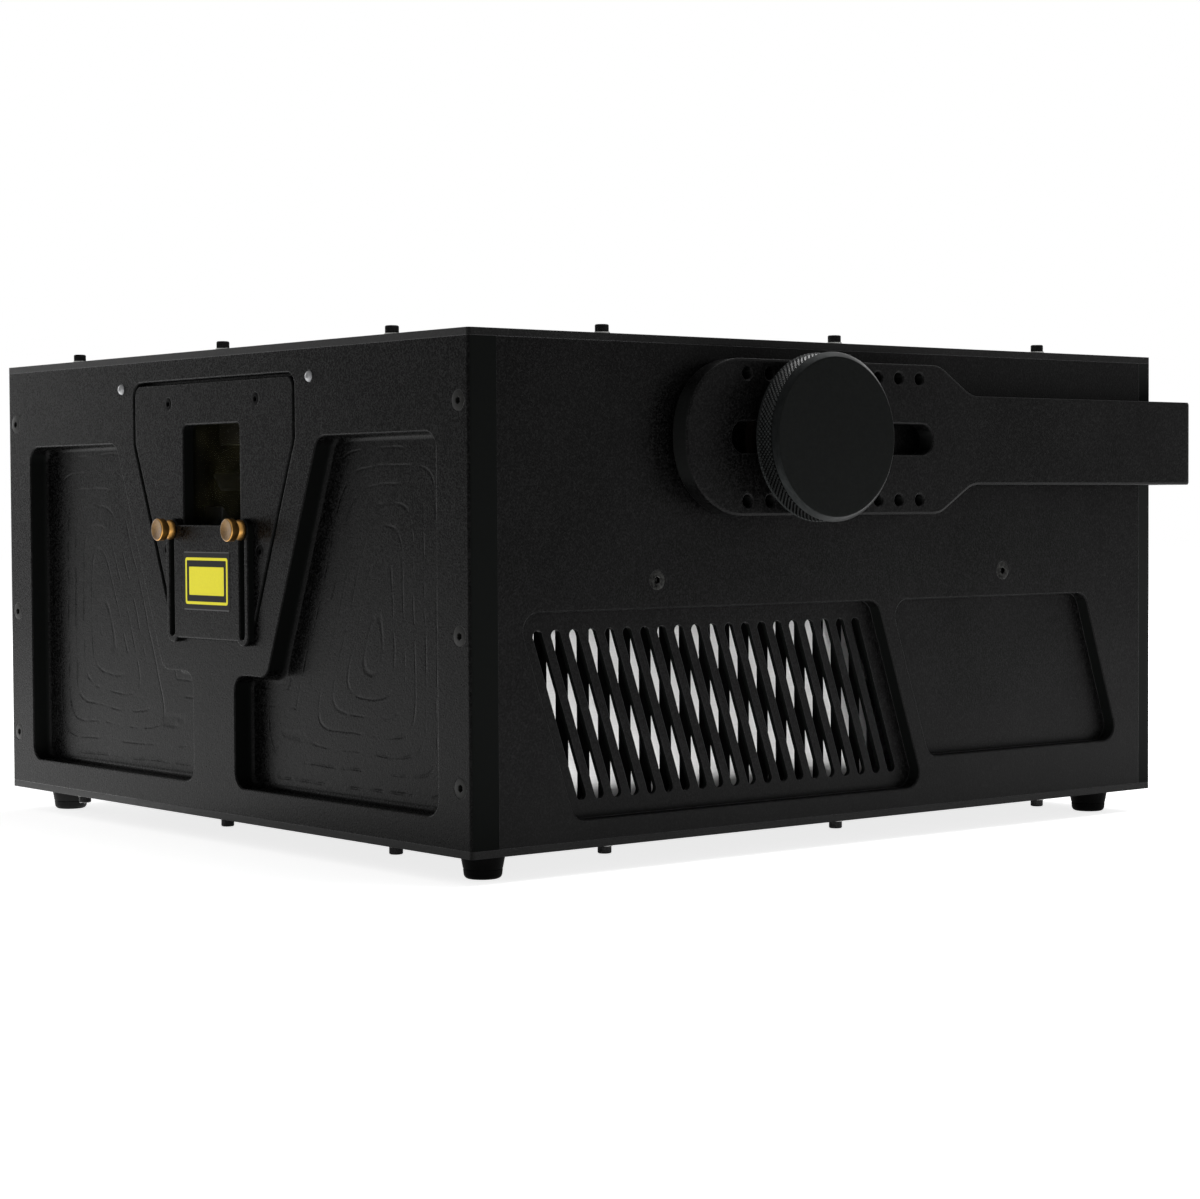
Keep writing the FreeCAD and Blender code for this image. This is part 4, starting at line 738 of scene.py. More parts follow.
class Paint(Enum):
    """The finishes that several pieces share."""

    # Anodised finishes get a painted highlight on their edges; those with an axis get painted shade, a matt
    # black, on faces along it.
    PLATE = Anodised("side_plate_black", gloss=0.032, painted_shade_axis="Y")
    REAR = Anodised("rear_plate_black", gloss=0.06, painted_shade_axis="X", wall=(0.0105, 0.011, 0.0107))
    COVER = Anodised("cover_black", roughness=0.46)
    SHIELD = Anodised("aperture_cover_black", roughness=0.26, gloss=0.025, painted_shade_axis="X")
    YOKE = Anodised("yoke_black", gloss=0.033, painted_shade_axis="Y", wall=(0.0095, 0.01, 0.0097))
    KNOB = Knurled("knob_black")
    INNER_BLACK = Moulded("inner_black", (0.0016, 0.0014, 0.0008), 0.5, 0.01)
    FINS = FinMetal("heat_sink")
    SCREW = Moulded("screw_black", (0.008, 0.008, 0.0075), 0.3, 0.036, 0.3, 0.5 * MM)
    BLACK_SCREW = Metal("black_screw_steel", grey(0.0022), grey(0.011), 0.26)
    SIDE_SCREW = Metal("side_screw_steel", grey(0.001), (0.024, 0.024, 0.023), 0.24, 0.9 * MM, 0.3)
    DARK_SCREW = Moulded("dark_screw_black", grey(0.001), 0.22, 0.012, 0.5, 0.5 * MM)
    ZINC = Metal("zinc_plate", (0.2, 0.2, 0.195), (0.32, 0.32, 0.31), 0.32)
    STEEL = Metal("bright_steel", grey(0.15), grey(0.2), 0.24)
    # Its face tones are painted shade, darker than brass; its sides take a painted highlight.
    BRASS = TurnedMetalWithPaintedLight("turned_brass", (0.04, 0.018, 0.003), (0.105, 0.057, 0.013), 0.34, 0.7 * MM, 0.3)
    GOLD = Metal("contact_gold", (0.75, 0.5, 0.16), (0.86, 0.62, 0.25), 0.2)
    BARE = Metal("milled_aluminium", grey(0.5), (0.66, 0.66, 0.65), 0.34)
    MIRROR = Metal("coated_mirror", (0.15, 0.16, 0.17), (0.19, 0.2, 0.21), 0.36, 4 * MM, 0.02)
    RUBBER = Moulded("foot_rubber", grey(0.003), 0.6, 0.02, 0.4, 0.6 * MM)
    PLASTIC = Moulded("socket_plastic", grey(0.009), 0.45, 0.2)
    BLUE_PLASTIC = Moulded("inlet_plastic", (0.012, 0.06, 0.28), 0.38)
    GREY_PLASTIC = Moulded("outlet_plastic", (0.2, 0.205, 0.21), 0.4)
    FAN_PLASTIC = Moulded("fan_plastic", grey(0.01), 0.4)
    LINING = Moulded("friction_lining", (0.006, 0.004, 0.0034), 0.8, 0.05, 0.6, 0.8 * MM)
    CASE = Metal("supply_case", (0.36, 0.37, 0.37), grey(0.5), 0.42, 1.2 * MM)
    YELLOW = Printed("plate_yellow")
    FILM = Printed("plate_film", grey(0.0045), 0.4, 0.03)
    FILM_EDGE = Printed("film_edge", grey(0.05), 0.3)


@dataclass
class Shell:
    """A surface: its points, and its faces as arrays of corner numbers."""

    points: np.ndarray
    faces: list[np.ndarray]

    def carried(self, seat: Seat) -> Shell:
        """The same surface, standing at a seat."""
        return Shell(seat.carry(self.points), self.faces)

    def repeated(self, seats: Sequence[Seat]) -> Shell:
        """Copies of the surface at several seats, joined into one.

        Args:
            seats: where the copies stand.

        Returns:
            All the copies together.
        """
        shift = (np.arange(len(seats)) * len(self.points))[:, None, None]
        points = np.concatenate([seat.carry(self.points) for seat in seats])
        return Shell(points, [(item[None] + shift).reshape(-1, item.shape[1]) for item in self.faces])


@dataclass(frozen=True)
class Seat:
    """Where a shape stands: its origin, and the ways that its own Z and X axes point."""

    origin: Spot
    up: Spot = UPWARD
    across: Spot = RIGHT

    def carry(self, points: np.ndarray) -> np.ndarray:
        """Moves points from the shape's own frame: origin plus x, y and z along the seat's three axes.

        Args:
            points: the points, one a row.

        Returns:
            The points in the projector's frame.
        """
        across, up = np.array(self.across), np.array(self.up)
        axes = np.stack([across, np.cross(up, across), up])
        return np.array(self.origin) + points @ axes

    def shifted(self, x: float = 0.0, y: float = 0.0, z: float = 0.0) -> Seat:
        """The same seat, moved along the projector's axes by some millimetres."""
        return replace(self, origin=tuple(np.array(self.origin) + np.array([x, y, z]) * MM))


def join(shells: Sequence[Shell]) -> Shell:
    """Puts several surfaces together as one.

    Args:
        shells: the surfaces.

    Returns:
        One surface with all their points and faces.
    """
    starts = np.cumsum([0] + [len(shell.points) for shell in shells])
    faces = [item + start for shell, start in zip(shells, starts) for item in shell.faces]
    return Shell(np.concatenate([shell.points for shell in shells]), faces)


def ring_shell(rings: np.ndarray, loop: bool = False) -> Shell:
    """Joins a stack of rings by quads. A fan to its ring's middle closes each end of an open stack.

    Args:
        rings: points, as rings by corners by 3.
        loop: whether the last ring joins up with the first.

    Returns:
        The closed surface.
    """
    count, corners, _ = rings.shape
    number = np.arange(count * corners).reshape(count, corners)
    lower = number if loop else number[:-1]
    upper = np.roll(number, -1, axis=0) if loop else number[1:]
    quads = np.stack([lower, np.roll(lower, -1, 1), np.roll(upper, -1, 1), upper], axis=-1).reshape(-1, 4)
    points = rings.reshape(-1, 3)
    if loop:
        return Shell(points, [quads])
    first, last = number[0], number[-1]
    base = np.stack([np.roll(first, -1), first, np.full(corners, count * corners)], axis=-1)
    cap = np.stack([last, np.roll(last, -1), np.full(corners, count * corners + 1)], axis=-1)
    return Shell(np.concatenate([points, rings[[0, -1]].mean(axis=1)]), [quads, base, cap])


def angles(corners: int) -> np.ndarray:
    """Even angles round a full turn."""
    return np.arange(corners) * (2 * math.pi / corners)


def lathe(profile: Sequence[tuple[Any, float]], corners: int = ROUND, loop: bool = False) -> Shell:
    """Carries a profile round the Z axis: a corner is at radius times cos and sin of its angle.

    Args:
        profile: radius and height of each ring in millimetres; a radius may hold one value per corner.
        corners: corners in a ring.
        loop: whether the profile closes on itself, as for a tube or washer.

    Returns:
        The turned surface, in metres.
    """
    turn = angles(corners)
    radius = np.stack([np.broadcast_to(np.asarray(item[0], float), turn.shape) for item in profile])
    height = np.broadcast_to(np.array([[item[1]] for item in profile], float), radius.shape)
    return ring_shell(np.stack([radius * np.cos(turn), radius * np.sin(turn), height], axis=-1) * MM, loop)


def hexagon(flats: float, corners: int = ROUND) -> np.ndarray:
    """Radius of a hexagon at each angle: half its flats over the cosine of the angle from a flat's middle."""
    third = math.pi / 3
    return flats / 2 / np.cos((angles(corners) + third / 2) % third - third / 2)


def box_radius(width: float, height: float, corners: int) -> np.ndarray:
    """Radius of a rectangle at each angle: the nearer of its two pairs of sides along that angle."""
    turn = angles(corners)
    with np.errstate(divide="ignore"):
        return np.minimum(width / 2 / np.abs(np.cos(turn)), height / 2 / np.abs(np.sin(turn)))


def bend(centre: Size, radius: float, start: float, end: float, steps: int = 6) -> list[Size]:
    """Points of an arc in a profile, between two angles in degrees from the outward way towards up."""
    turn = np.radians(np.linspace(start, end, steps))
    return list(zip(centre[0] + radius * np.cos(turn), centre[1] + radius * np.sin(turn)))


def rounded_outline(width: float, height: float, radius: float, steps: int = 6) -> np.ndarray:
    """Outline of a rectangle with round corners: four quarter arcs, one about each corner's centre.

    Args:
        width: its width.
        height: its height.
        radius: its corners' radius.
        steps: points in each corner.

    Returns:
        The outline's points in the plane, going round to the left.
    """
    quarter = np.linspace(0, math.pi / 2, steps)
    turn = (quarter[None] + np.arange(4)[:, None] * math.pi / 2).reshape(-1)
    sign = np.repeat(np.array([[1, 1], [-1, 1], [-1, -1], [1, -1]]), steps, axis=0)
    middle = sign * np.array([width / 2 - radius, height / 2 - radius])
    return middle + radius * np.stack([np.cos(turn), np.sin(turn)], axis=-1)


def stacked(layers: Sequence[tuple[np.ndarray, float]], loop: bool = False) -> Shell:
    """Stacks outlines at their heights and joins them, the last with the first too if they loop."""
    rings = [np.column_stack([outline, np.full(len(outline), height)]) for outline, height in layers]
    return ring_shell(np.stack(rings) * MM, loop)


def slab(outline: np.ndarray, low: float, high: float) -> Shell:
    """A flat plate of some outline between two heights."""
    return stacked([(outline, low), (outline, high)])


def countersunk(head: float, shank: float, length: float, flats: float) -> Shell:
    """Countersunk screw with a hexagon socket, its head flush at height 0.

    Args:
        head: head diameter in millimetres.
        shank: thread diameter.
        length: whole length.
        flats: width of the socket across its flats.

    Returns:
        The screw, pointing up.
    """
    rim, bore, socket = head / 2 - 0.02, shank / 2, hexagon(flats)
    cone = rim - bore
    return lathe([(bore, -length), (bore, -cone), (rim, -0.28), (rim, -0.16), (rim - 0.12, -0.04),
                  (rim - 0.3, 0.0), (socket + 0.22, 0.0), (socket, -0.18), (socket, -cone * 0.9),
                  (flats * 0.2, -cone * 1.05)])


@dataclass
class Piece:
    """A new piece of the projector: surfaces with their finishes, on one body."""

    name: str
    slot: str
    parts: list[tuple[Shell, Paint]]
    replaces: tuple[str, ...] = ()
    body: str = "casing"

    def build(self) -> None:
        shell = join([part for part, _ in self.parts])
        mesh = bpy.data.meshes.new(self.name)
        mesh.from_pydata(shell.points.tolist(), [], [row for item in shell.faces for row in item.tolist()])
        paints = list(dict.fromkeys(paint for _, paint in self.parts))
        for paint in paints:
            mesh.materials.append(paint.value.material())
        counts = [sum(len(item) for item in part.faces) for part, _ in self.parts]
        numbers = [paints.index(paint) for _, paint in self.parts]
        mesh.polygons.foreach_set("material_index", np.repeat(numbers, counts))
        mesh.shade_smooth()
        mesh.set_sharp_from_angle(angle=SHARP)
        mesh.update()
        item = bpy.data.objects.new(self.name, mesh)
        bpy.context.scene.collection.objects.link(item)
        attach(item, self.body)
        if self.replaces:
            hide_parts(*self.replaces)
        LOG.info("piece %s on %s: %d points", self.name, self.body, len(shell.points))


def fasten(name: str, screw: Shell, seats: Sequence[Seat], paint: Paint, *replaced: str) -> None:
    """Builds like screws at several seats of the casing as one piece, in the place of some nodes."""
    Piece(name, "black_hardware", [(screw.repeated(seats), paint)], replaced).build()


class Frame:
    """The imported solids, and the places that the fittings take from them."""

    def __init__(self) -> None:
        """Loads the frame and keeps its box."""
        self.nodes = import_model()["nodes"]
        self.cad_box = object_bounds()

    def box(self, node: str) -> tuple[np.ndarray, np.ndarray]:
        """Lowest and highest corner of a node."""
        low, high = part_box(node)
        return np.array(low), np.array(high)

    def middle(self, node: str) -> np.ndarray:
        """Middle of a node's box."""
        low, high = self.box(node)
        return (low + high) / 2

    def front(self, node: str) -> float:
        """Level along Y of a node's front."""
        return float(self.box(node)[0][1])

    def rear(self, node: str) -> float:
        """Level along Y of a node's rear."""
        return float(self.box(node)[1][1])

    def dress(self, paint: Union[Paint, Finish], *names: str) -> None:
        """Gives nodes a finish.

        Args:
            paint: the finish.
            names: the nodes.
        """
        finish = paint.value if isinstance(paint, Paint) else paint
        material = finish.material()
        for name in names:
            item = self.nodes[name]
            if not item.material_slots:
                item.data.materials.append(material)
            for slot in item.material_slots:
                slot.material = material
            LOG.info("dressed %s in %s", name, finish.name)


@dataclass
class Casing:
    """Six plates and sheets with their screws, washers, status lights and feet."""

    frame: Frame
    pocket_depth: float = 9 * MM
    light_level: float = 196.3 * MM
    washer: float = 0.8 * MM
    cap_pitch: float = 126 * MM
    cap_shank: float = 1.5
    cap_length: float = 9.8
    cap_head: float = 2.7
    cap_height: float = 3.0
    cap_socket: float = 2.5
    cap_depth: float = 1.6
    cap_teeth: int = 48
    cap_knurl: float = 0.05
    plate_screw: ScrewSize = (8.0, 4.0, 25.0, 2.5)
    plate_screw_levels: Spot = (37.0 * MM, 94.5 * MM, 183.3 * MM)
    bench_screw_lines: Size = (92 * MM, 292 * MM)
    bench_level: float = 113.8 * MM
    foot_inset: float = 20 * MM
    foot_radius: float = 9.0
    foot_height: float = 10.5
    foot_bore: float = 2.05
    foot_well: Size = (3.55, 5.0)

    def build(self) -> None:
        """Dresses the plates and makes the fittings."""
        dress = self.frame.dress
        floor = self.frame.front("front_plate") + self.pocket_depth
        # The front plate's sides and pocket walls, which face along X, get painted shade.
        dress(MilledFront("front_plate_black", roughness=0.26, gloss=0.025, painted_shade_axis="X",
                          pocket_floor=floor), "front_plate")
        dress(Paint.PLATE, "right_side_plate", "left_side_plate")
        dress(Paint.REAR, "rear_plate")
        dress(Paint.COVER, "top_cover", "base_cover")
        dress(Paint.ZINC, "cover_washers")
        dress(Paint.BLACK_SCREW, "foot_screws")
        dress(Lens("status_lens", self.light_level), "status_leds")
        self._cover_screws()
        self._plate_screws()
        self._bench_screws()
        self._feet()

    def _cover_screws(self) -> None:
        """Cap screws with hexagon sockets and knurled heads, on both covers."""
        shank, head, top = self.cap_shank, self.cap_head, self.cap_height
        floor = top - self.cap_depth
        teeth = head + self.cap_knurl * np.cos(angles(FINE) * self.cap_teeth)
        socket = hexagon(self.cap_socket, FINE)
        screw = lathe([(shank, -self.cap_length), (shank, 0.0), (head - 0.15, 0.0), (teeth, 0.15),
                       (teeth, top - 0.4), (head - 0.25, top - 0.05), (head - 0.5, top), (socket + 0.12, top),
                       (socket, top - 0.12), (socket, floor), (0.5, floor - 0.3)], FINE)
        x = abs(self.frame.middle("right_side_plate")[0])
        ends = self.frame.middle("front_plate")[1], self.frame.middle("rear_plate")[1]
        centre = self.frame.middle("top_cover")[1]
        steps = [i * self.cap_pitch for i in (-1, 0, 1)]
        spots = [(step, y) for y in ends for step in steps]
        spots += [(side * x, centre + step) for side in SIDES for step in steps]
        above = float(self.frame.box("top_cover")[1][2]) + self.washer
        below = float(self.frame.box("base_cover")[0][2]) - self.washer
        seats = [Seat((*spot, above)) for spot in spots] + [Seat((*spot, below), DOWNWARD) for spot in spots]
        fasten("hex_cap_screws", screw, seats, Paint.BLACK_SCREW, "cover_screws")

    def _plate_screws(self) -> None:
        """Screws of the front and rear plates."""
        x = abs(self.frame.middle("right_side_plate")[0])
        screw = countersunk(*self.plate_screw)
        for end, way, y in (("front", FRONTWARD, self.frame.front("front_plate")),
                            ("rear", REARWARD, self.frame.rear("rear_plate"))):
            seats = [Seat((sign * x, y, z), way) for sign in SIDES for z in self.plate_screw_levels]
            fasten(f"{end}_hex_screws", screw, seats, Paint.SCREW, f"{end}_plate_screws")

    def _bench_screws(self) -> None:
        """Screws through the side plates into the optical bench."""
        x = float(self.frame.box("right_side_plate")[1][0])
        front = self.frame.front("front_plate")
        seats = [Seat((sign * x, front + line, self.bench_level), way, REARWARD)
                 for sign, way in ((1, RIGHT), (-1, LEFT)) for line in self.bench_screw_lines]
        fasten("bench_hex_screws", countersunk(*self.plate_screw), seats, Paint.SIDE_SCREW, "bench_screws")

    def _feet(self) -> None:
        """Rubber feet with a soft lower edge, a moulded ring and a well for the screw."""
        bore, rim, height = self.foot_bore, self.foot_radius, self.foot_height
        well, depth = self.foot_well
        profile = [(bore, height), (bore, depth), (well, depth), (well, 0.3), (well + 0.3, 0.0)]
        profile += bend((5.5, 2.0), 2.0, -90, -11)
        profile += [(7.7, 3.6), (7.55, 3.9), (7.8, 4.3), (8.62, 8.6), (rim, height - 0.9), (rim, height)]
        foot = lathe(profile, SMOOTH, loop=True)
        low, high = self.frame.box("base_cover")
        rows = [(low[axis] + self.foot_inset, high[axis] - self.foot_inset) for axis in (0, 1)]
        seats = [Seat((x, y, 0.0)) for x in rows[0] for y in rows[1]]
        parts = [(foot.repeated(seats), Paint.RUBBER)]
        Piece("moulded_feet", "black_rubber", parts, ("rubber_feet",)).build()


@dataclass
class BeamMask:
    """Aperture cover with its window, the sliding mask, its thumbscrews and a bare yellow plate."""

    frame: Frame
    cover_screw: ScrewSize = (5.8, 3.0, 9.0, 2.0)
    upper_screws: Size = (35.5 * MM, 188.5 * MM)
    lower_screws: Size = (38.0 * MM, 125.0 * MM)
    thumb_shank: float = 1.5
    thumb_length: float = 12.0
    thumb_collar: float = 3.9
    thumb_neck: float = 2.9
    thumb_head: float = 4.3
    thumb_levels: Size = (3.85, 7.4)
    plate_spot: Size = (0.4 * MM, 112.1 * MM)
    film: Size = (37.4, 25.0)
    film_thickness: float = 0.1
    edge_width: float = 0.45
    edge_inset: float = 0.25
    edge_level: float = 0.13
    border: Size = (34.4, 20.0)
    border_line: float = 1.2
    panel: Size = (28.2, 12.1)
    ink_levels: Size = (0.08, 0.14)

    def build(self) -> None:
        """Dresses the cover and mask and makes the fittings."""
        self.frame.dress(Paint.SHIELD, "aperture_cover", "mask_plate")
        self.frame.dress(Pane("window_pane"), "aperture_glass")
        front = self.frame.front("aperture_cover")
        seats = [Seat((sign * x, front, z), FRONTWARD) for sign in SIDES
                 for x, z in (self.upper_screws, self.lower_screws)]
        fasten("cover_hex_screws", countersunk(*self.cover_screw), seats, Paint.DARK_SCREW,
               "aperture_cover_screws")
        for side in ("right", "left"):
            self._thumbscrew(f"{side}_thumbscrew")
        self._plate()

    def _thumbscrew(self, node: str) -> None:
        """Turned thumbscrew: a barrel collar, a neck and a round-edged head.

        Args:
            node: the solid that it replaces, which is also its body.
        """
        shank, collar, neck, head = self.thumb_shank, self.thumb_collar, self.thumb_neck, self.thumb_head
        base, top = self.thumb_levels
        profile = [(shank, -self.thumb_length), (shank, 0.0), (collar, 0.0)]
        profile += bend((collar, 0.4), 0.4, -85, 0, 4) + bend((0.2, 0.7), 4.1, 2, 38, 10)
        profile += [(neck + 0.1, base - 0.45), (neck, base - 0.35), (neck, base - 0.1), (neck + 0.2, base)]
        profile += [(head, base)] + bend((head + 0.05, base + 0.45), 0.45, -85, 0, 5)
        profile += bend((head - 0.05, top - 0.55), 0.55, 0, 85, 6) + [(head - 0.2, top)]
        profile += [(head - 0.4, top - 0.04), (2.0, top - 0.04), (1.6, top - 0.1), (0.6, top - 0.1)]
        middle = self.frame.middle(node)
        seat = Seat((middle[0], self.frame.front("mask_plate"), middle[2]), FRONTWARD)
        screw = lathe(profile, SMOOTH).carried(seat)
        Piece(f"turned_{node}", "brass", [(screw, Paint.BRASS)], (node,), node).build()

    def _plate(self) -> None:
        """Bare plate on the mask: a black film with pale cut edges, a yellow border and a yellow panel."""
        across, level = self.plate_spot
        seat = Seat((across, self.frame.front("mask_plate"), level), FRONTWARD)
        width, height = self.film
        low, high = self.ink_levels
        film = slab(rounded_outline(width, height, 0.6), 0.0, self.film_thickness)
        outer = rounded_outline(*self.border, 1.3)
        line = 2 * self.border_line
        inner = rounded_outline(self.border[0] - line, self.border[1] - line, 0.5)
        border = stacked([(outer, low), (outer, high), (inner, high), (inner, low)], loop=True)
        panel = slab(rounded_outline(*self.panel, 0.4), low, high)
        strip = rounded_outline(width - 0.8, self.edge_width, 0.2)
        lift = np.array([0.0, height / 2 - self.edge_inset])
        edges = [slab(strip + sign * lift, low, self.edge_level) for sign in SIDES]
        parts = [(film, Paint.FILM), (border, Paint.YELLOW), (panel, Paint.YELLOW)]
        parts += [(edge, Paint.FILM_EDGE) for edge in edges]
        parts = [(part.carried(seat), paint) for part, paint in parts]
        Piece("yellow_plate", "black_plastic", parts, body="mask").build()


@dataclass
class Yoke:
    """U-shaped bracket, its bush, friction discs, washers and knurled clamp knobs."""

    frame: Frame
    knurl_teeth: int = 104
    knurl_depth: float = 0.8
    knurl_levels: int = 46
    tooth_corners: int = 6
    radius: float = 34.25
    bore: float = 5.0
    hub: float = 19.0
    hub_height: float = 3.0
    height: float = 15.0
    bevel: float = 2.0
    back_bevel: float = 1.0
    run_out: float = 0.5
    face_ring: float = 12.0
    soft: float = 0.12

    def build(self) -> None:
        """Dresses the bracket and makes the knobs."""
        self.frame.dress(Paint.YOKE, "yoke_bracket")
        self.frame.dress(Paint.STEEL, "clamp_bush")
        self.frame.dress(Paint.BLACK_SCREW, "clamp_washers", "pivot_studs")
        self.frame.dress(Paint.LINING, "friction_discs")
        for side, way, end in (("right", RIGHT, 0), ("left", LEFT, 1)):
            self._knob(f"{side}_knob", way, end)

    def _knob(self, node: str, way: Spot, end: int) -> None:
        """Clamp knob with a diamond knurl.

        The knurl is two families of grooves that cross: a point's depth is that of the nearer groove, from
        triangle waves of the angle plus and minus the height.

        Args:
            node: the solid that it replaces, which is also its body.
            way: the way that it faces.
            end: 0 or 1, for which end of the solid's box is its back.
        """
        corners = self.knurl_teeth * self.tooth_corners
        turn = angles(corners) / (2 * math.pi) * self.knurl_teeth
        low, high = self.hub_height + self.back_bevel, self.height - self.bevel
        levels = np.linspace(low, high, self.knurl_levels)
        pitch = 2 * math.pi * self.radius / self.knurl_teeth
        rise = (levels - low)[:, None] / pitch
        waves = [np.abs(((turn[None] + sign * rise) % 1.0) * 2 - 1) for sign in SIDES]
        fade = np.clip(np.minimum(levels - low, high - levels) / self.run_out, 0.0, 1.0)[:, None]
        rim = self.radius - self.knurl_depth * (1 - np.minimum(*waves)) * fade
        edge, top, soft = self.radius - self.bevel, self.height, self.soft
        profile: list[tuple[Any, float]] = [(self.bore, 0.0), (self.hub, 0.0), (self.hub, self.hub_height)]
        profile += [(self.radius - self.back_bevel, self.hub_height), *zip(rim, levels)]
        profile += [(self.radius - soft, high + soft), (edge + soft, top - soft), (edge - 0.1, top)]
        profile += [(edge - 0.6, top), (self.face_ring, top)]
        back, middle = self.frame.box(node)[end][0], self.frame.middle(node)
        knob = lathe(profile, corners).carried(Seat((back, middle[1], middle[2]), way, REARWARD))
        Piece(f"knurled_{node}", "black_anodised", [(knob, Paint.KNOB)], (node,), node).build()


@dataclass
class Inside:
    """Optics, boards, supply and cooling, as far as the window and the grilles show them."""

    frame: Frame
    board: float = 1.6 * MM

    def build(self) -> None:
        """Dresses the inner solids."""
        dress = self.frame.dress
        dress(Paint.INNER_BLACK, "scanner_block", "red_laser_module", "green_laser_module",
              "blue_laser_module")
        dress(Paint.BARE, "optical_bench", "mirror_mounts", "board_standoffs")
        dress(Paint.STEEL, "vertical_galvo", "horizontal_galvo", "shutter_motor", "shutter_flag")
        dress(Paint.MIRROR, "combining_mirrors", "fold_mirror", "vertical_mirror", "horizontal_mirror")
        dress(Paint.FINS, "heat_sink")
        dress(Paint.FAN_PLASTIC, "front_fan_frame", "rear_fan_frame", "front_fan_rotor", "rear_fan_rotor")
        dress(Paint.CASE, "power_supply", "laser_driver")
        for node in ("scanner_driver", "control_board"):
            level = float(self.frame.box(node)[0][2]) + self.board
            dress(Board(f"{node}_mask", level), node)


@dataclass
class RearPanel:
    """Sockets, fuse and key switch of the rear plate."""

    frame: Frame
    flange_width: float = 26.0
    flange_screw: ScrewSize = (4.6, 2.4, 2.0, 1.6)
    flange_screws: Spot = (9.5, 0.12, 12.3)
    bore: float = 9.0
    floor: float = -14.0
    collar: float = 7.6
    keyway: float = 0.9
    pin_circle: float = 4.6
    pin_gap: float = 0.6
    latch: Size = (5.6, 2.6)
    latch_level: float = 12.2
    network_hole: Size = (11.8, 9.6)
    contacts: int = 8
    contact: Size = (0.5, 5.0)
    contact_pitch: float = 1.02
    contact_level: float = 1.6
    fuse_radius: float = 7.35
    fuse_flutes: int = 12
    flute_depth: float = 0.25
    key_bow: Size = (4.5, 10.0)
    key_hole: Size = (1.9, 3.4)
    signal_size: Size = (40.0, 9.0)
    signal_taper: float = 0.04
    signal_wall: Size = (0.965, 0.86)
    signal_face: float = -3.0
    signal_body: Size = (53.0, 12.5)
    signal_back: float = -24.0
    signal_row: int = 13
    signal_pitch: Size = (2.76, 2.84)
    post_flats: float = 4.76
    post_spread: float = 23.5

    def build(self) -> None:
        """Dresses the sockets and puts contacts into them."""
        sockets = ("power_inlet", "power_outlet", "interlock_socket", "network_socket", "control_sockets")
        self.frame.dress(Paint.PLASTIC, *sockets)
        self.frame.dress(Paint.STEEL, "key_switch")
        self._flange_screws(sockets)
        self._power_inserts()
        self._pins()
        self._network_insert()
        self._fuse()
        self._key()
        self._signal()
        self._jack_screws()

    def _middle_seat(self, node: str) -> Seat:
        """Middle of a node's outer face."""
        middle = self.frame.middle(node)
        return Seat((middle[0], self.frame.rear(node), middle[2]), REARWARD, LEFT)

    def _seats(self, node: str) -> list[Seat]:
        """Finds the flanges of a node that has one socket or two.

        Args:
            node: the node.

        Returns:
            A seat in the middle of each flange's outer face.
        """
        low, high = self.frame.box(node)
        spare = (high[0] - low[0]) / MM - self.flange_width
        offsets = (-spare / 2, spare / 2) if spare > self.flange_width / 2 else (0.0,)
        return [self._middle_seat(node).shifted(offset) for offset in offsets]

    def _flange_screws(self, sockets: Sequence[str]) -> None:
        """Two small countersunk screws in each flange.

        Args:
            sockets: the socket nodes.
        """
        across, proud, up = self.flange_screws
        seats = [seat.shifted(sign * across, proud, sign * up)
                 for node in sockets for seat in self._seats(node) for sign in SIDES]
        fasten("flange_screws", countersunk(*self.flange_screw), seats, Paint.BLACK_SCREW)

    def _power_inserts(self) -> None:
        """Coloured collars with three keyways and a centre post, in the two power sockets."""
        keyed = self.collar - self.keyway * np.clip(np.cos(3 * angles(FINE)) * 6 - 4.6, 0, 1)
        wall, floor = self.bore - 0.1, self.floor
        collar = lathe([(wall, floor), (wall, -0.5), (wall - 0.4, -0.1), (keyed + 0.4, -0.1), (keyed, -0.5),
                        (keyed, floor)], FINE, loop=True)
        post = lathe([(4.2, floor), (4.2, -2.6), (3.8, -2.2), (3.0, -2.2), (1.0, -2.4)])
        for node, paint in (("power_inlet", Paint.BLUE_PLASTIC), ("power_outlet", Paint.GREY_PLASTIC)):
            seats = self._seats(node)
            parts = [(collar.repeated(seats), paint), (post.repeated(seats), Paint.PLASTIC)]
            Piece(f"{node}_insert", "black_plastic", parts).build()

    def _pins(self) -> None:
        """Contact pins and a latch in the round signal sockets."""
        pin = lathe([(1.0, self.floor), (1.0, -4.4), (0.8, -3.9), (0.4, -3.7)], 24)
        latch = slab(rounded_outline(*self.latch, 0.5), -0.1, 1.0)
        for node, count in (("interlock_socket", 3), ("control_sockets", 5)):
            seats = self._seats(node)
            turns = np.linspace(self.pin_gap, 2 * math.pi - self.pin_gap, count) - math.pi / 2
            circle = np.stack([np.cos(turns), np.sin(turns)], axis=-1) * self.pin_circle
            pins = [seat.shifted(x, 0.0, z) for seat in seats for x, z in circle]
            latches = [seat.shifted(z=self.latch_level) for seat in seats]
            parts = [(pin.repeated(pins), Paint.GOLD), (latch.repeated(latches), Paint.STEEL)]
            Piece(f"{node}_contacts", "brass", parts).build()

    def _network_insert(self) -> None:
        """Square-holed insert with eight flat contacts."""
        seat = self._seats("network_socket")[0]
        wall, floor, hole = self.bore - 0.1, self.floor, box_radius(*self.network_hole, FINE)
        insert = lathe([(wall, floor), (wall, -0.3), (hole + 0.3, -0.3), (hole, -0.6), (hole, floor)], FINE,
                       loop=True)
        contact = slab(rounded_outline(*self.contact, 0.1), floor, floor + 4.0)
        steps = np.arange(self.contacts) - (self.contacts - 1) / 2
        row = [seat.shifted(step * self.contact_pitch, 0.0, self.contact_level) for step in steps]
        parts = [(insert.carried(seat), Paint.GREY_PLASTIC), (contact.repeated(row), Paint.GOLD)]
        Piece("network_insert", "black_plastic", parts).build()

